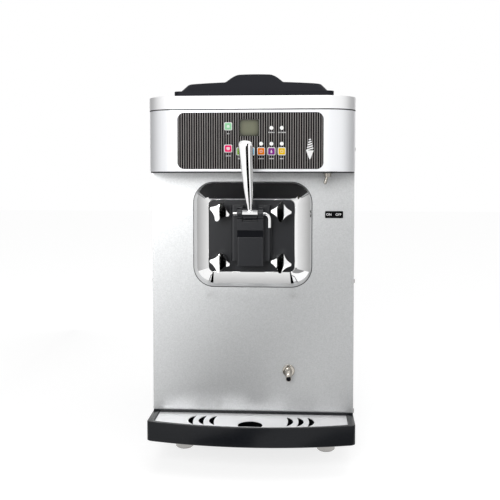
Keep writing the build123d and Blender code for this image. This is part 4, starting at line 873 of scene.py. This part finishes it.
tray_black = finish("tray_black", (0.007, 0.008, 0.010), 0.0, 0.22, 250.0, 0.2, 0.02, specular=0.2)
tray_low, tray_high = np.array(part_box("drip_tray"))
tray_bow = 25 * mm
tray_corner, mouth_ease = 8 * mm, 0.3 * mm
tray_rim = np.array([13, 7, 3]) * mm
tray_ledge = 5 * mm
tray_edge = 1.2 * mm
tray_floor = 3 * mm
grid_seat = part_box("drip_grid")[0][2]
bend = np.linspace(0, math.pi / 2, 4)
edge_in, edge_down = tray_edge * (1 - np.cos(bend)), tray_edge * (1 - np.sin(bend))
tray_walls = [(np.full(3, tray_edge), tray_corner, tray_low[2]),
              (np.zeros(3), tray_corner, tray_low[2] + tray_edge)]
tray_walls += [(np.full(3, into), tray_corner, tray_high[2] - down) for into, down in zip(edge_in, edge_down)]
tray_walls += [(tray_rim - into, mouth_ease, tray_high[2] - down)
               for into, down in zip(edge_in[::-1], edge_down[::-1])]
tray_walls += [(tray_rim, mouth_ease, grid_seat), (tray_rim + tray_ledge, mouth_ease, grid_seat),
               (tray_rim + tray_ledge, mouth_ease, tray_low[2] + tray_floor)]
tray_plans = np.stack([tray_outline(insets, ease) for insets, ease, z in tray_walls])
tray_heights = [z for insets, ease, z in tray_walls]
place("tray_shell", lifted(tray_plans, tray_heights), tray_black, "tray", ("drip_tray",))

back_rise, back_depth, back_inset, back_gap = 2.6 * mm, 2.4 * mm, 1.0 * mm, 0.3 * mm
back_face = tray_high[1] - back_gap
back_plan = oblong(tray_high[0] - back_inset, back_face - back_depth, back_face)
place("tray_lip", lifted(np.stack([back_plan, back_plan]), tray_high[2] + back_rise * np.array([-1, 1])),
      tray_black, "tray")


# Drip grid: a plate of satin stainless steel that drops onto the tray's ledge, pierced with crescent slots
# and a half-moon.

grid_steel = finish("grid_steel", (0.86, 0.86, 0.87), 0.4, 0.34, 1200.0, 0.04, 0.04)
dress(grid_steel, "drip_grid")


# Cord gland: a threaded gland moulded in black nylon, clamped in a hole of the back panel with a hexagon
# nut.

gland_nylon = finish("gland_nylon", (0.02, 0.02, 0.022), 0.0, 0.5, 500.0, 0.15, 0.06)
dress(gland_nylon, "cord_gland")


# Stage: a pale floor and a white surround, both dimmer to diffuse light, two soft lamps and the camera. Cards
# that only reflections see draw the chrome's dark and bright shapes, and flags shade the cabinet's sides.

def stage_sheet(name, corners, material, camera=True):
    """A flat four-cornered sheet of the set, which is no part of the object."""
    mesh = bpy.data.meshes.new(name)
    mesh.from_pydata(corners, [], [(0, 1, 2, 3)])
    mesh.materials.append(material)
    sheet = show(name, mesh)
    sheet.visible_camera = camera
    return sheet


def card(name, corners, level, back_level=None, glossy=True):
    """A card seen only in reflections, or only by diffuse light, whose level is even or runs from level at
    its front edge to back_level at its back edge along y."""
    paper = bpy.data.materials.new(name)
    paper.use_nodes = True
    tree = paper.node_tree
    tree.nodes.clear()
    strength = level
    if back_level is not None:
        where = node(tree, "SeparateXYZ", {"Vector": node(tree, "TexCoord").outputs["Object"]})
        ends = [corner[1] for corner in corners]
        strength = node(tree, "MapRange", {"Value": where.outputs["Y"], "From Min": min(ends),
                                           "From Max": max(ends), "To Min": level,
                                           "To Max": back_level}).outputs["Result"]
    glow = node(tree, "Emission", {"Strength": strength})
    node(tree, "OutputMaterial", {"Surface": glow.outputs[0]})
    sheet = stage_sheet(name, corners, paper, False)
    sheet.visible_glossy = glossy
    sheet.visible_diffuse = not glossy
    sheet.visible_shadow = False


def level_sheet(left, right, front, back, z):
    """Corners of a level sheet at height z."""
    return [(left, front, z), (right, front, z), (right, back, z), (left, back, z)]


def far_sheet(left, right, low, high):
    """Corners of an upright sheet behind the camera."""
    return [(left, far_y, low), (right, far_y, low), (right, far_y, high), (left, far_y, high)]


def side_sheet(x, front, back):
    """Corners of an upright sheet beside the object, from the floor to side_top."""
    return [(x, front, 0), (x, back, 0), (x, back, side_top), (x, front, side_top)]


def directly_seen(tree):
    """One for rays from the camera or off a glossy face, and nought for the others."""
    rays = node(tree, "LightPath").outputs
    both = {0: rays["Is Camera Ray"], 1: rays["Is Glossy Ray"]}
    return node(tree, "Math", both, operation="MAXIMUM").outputs[0]


floor_half, floor_glow = 9, 0.77
floor_paint = bpy.data.materials.new("floor_paint")
floor_paint.use_nodes = True
tree = floor_paint.node_tree
tree.nodes.clear()
matt = node(tree, "BsdfDiffuse", {"Color": (0.38, 0.38, 0.38, 1)})
strength = node(tree, "Math", {0: directly_seen(tree), 1: floor_glow}, operation="MULTIPLY")
glow = node(tree, "Emission", {"Strength": strength.outputs[0]})
both = node(tree, "AddShader", {0: matt.outputs[0], 1: glow.outputs[0]})
node(tree, "OutputMaterial", {"Surface": both.outputs[0]})
stage_sheet("floor", level_sheet(-floor_half, floor_half, -floor_half, floor_half, 0), floor_paint)

far_y, side_top = -2.4, 1.6
near_floor, over_floor = 0.002, 0.003
card("camera_card", far_sheet(-0.30, 0.20, 0, 1.5), 0.0)
card("far_floor_card", [(-0.30, far_y, near_floor), (0.20, far_y, near_floor), (0.03, -1.0, near_floor),
                        (-0.14, -1.0, near_floor)], 0.0)
card("lever_card", level_sheet(-0.19, 0.0, -1.0, -0.45, over_floor), 0.0)
card("bright_card", far_sheet(-1.6, -0.35, 0.1, 1.3), 1.7)
card("dark_floor_card", [(0.62, -1.2, near_floor), (1.7, -1.2, near_floor), (1.7, -0.25, near_floor),
                         (0.08, -0.36, near_floor)], 0.3)
under_head, under_bezel = 0.5502, 0.315
head_card_level = 0.9
for name, left, right, back in (("head_card", -0.125, 0.125, -0.254),
                                ("left_head_card", -0.188, -0.125, -0.242),
                                ("right_head_card", 0.125, 0.188, -0.242)):
    card(name, level_sheet(left, right, -0.268, back, under_head), head_card_level)
for name, left, right, level, back_level in (("bezel_card", -0.078, 0.073, 0.95, 0.55),
                                             ("left_mitre_card", -0.088, -0.078, 0.0, None),
                                             ("right_mitre_card", 0.073, 0.083, 0.0, None)):
    card(name, level_sheet(left, right, -0.250, -0.208, under_bezel), level, back_level)
for side, name, back_level, flag_level in ((-1, "left", 0.42, 0.1), (1, "right", 0.36, 0.6)):
    card(name + "_side_card", side_sheet(side * 1.0, -0.55, -0.10), 0.9, back_level)
    card(name + "_back_card", side_sheet(side * 1.0, -0.10, 0.90), 0.2)
    card(name + "_flag", side_sheet(side * 0.7, -1.3, 1.0), flag_level, glossy=False)

surround_dim, surround_full = 0.55, 1.0
world = bpy.data.worlds.new("surround")
bpy.context.scene.world = world
world.use_nodes = True
tree = world.node_tree
tree.nodes.clear()
rays = node(tree, "LightPath").outputs
clear = node(tree, "Math", {0: directly_seen(tree), 1: rays["Is Transmission Ray"]}, operation="MAXIMUM")
amount = node(tree, "MapRange", {"Value": clear.outputs[0], "To Min": surround_dim, "To Max": surround_full})
sky = node(tree, "Background", {"Color": (1, 1, 1, 1), "Strength": amount.outputs["Result"]})
node(tree, "OutputWorld", {"Surface": sky.outputs[0]})


def softbox(name, place_at, aim, wide, tall, power):
    """A rectangular lamp that points at aim."""
    lamp = bpy.data.lights.new(name, "AREA")
    lamp.shape = "RECTANGLE"
    lamp.size = wide
    lamp.size_y = tall
    lamp.energy = power
    holder = show(name, lamp)
    holder.location = place_at
    holder.rotation_euler = (Vector(aim) - Vector(place_at)).to_track_quat("-Z", "Y").to_euler()


softbox("key_lamp", (-0.55, -2.4, 1.22), (0, -0.2, 0.45), 1.2, 1.0, 38)
softbox("top_lamp", (0.2, -0.4, 2.4), (0, 0, 0.4), 1.6, 1.6, 10)

lens = bpy.data.cameras.new("camera")
lens.lens = 55.90
lens.sensor_width = 36
lens.shift_y = -0.09
camera = show("camera", lens)
camera.location = (0.0909, -1.6553, 0.5552)
camera_dip, camera_turn = 2.534, 3.7635
camera.rotation_euler = (math.radians(90 - camera_dip), 0, math.radians(camera_turn))
bpy.context.scene.camera = camera
bpy.context.scene.view_settings.view_transform = "Standard"
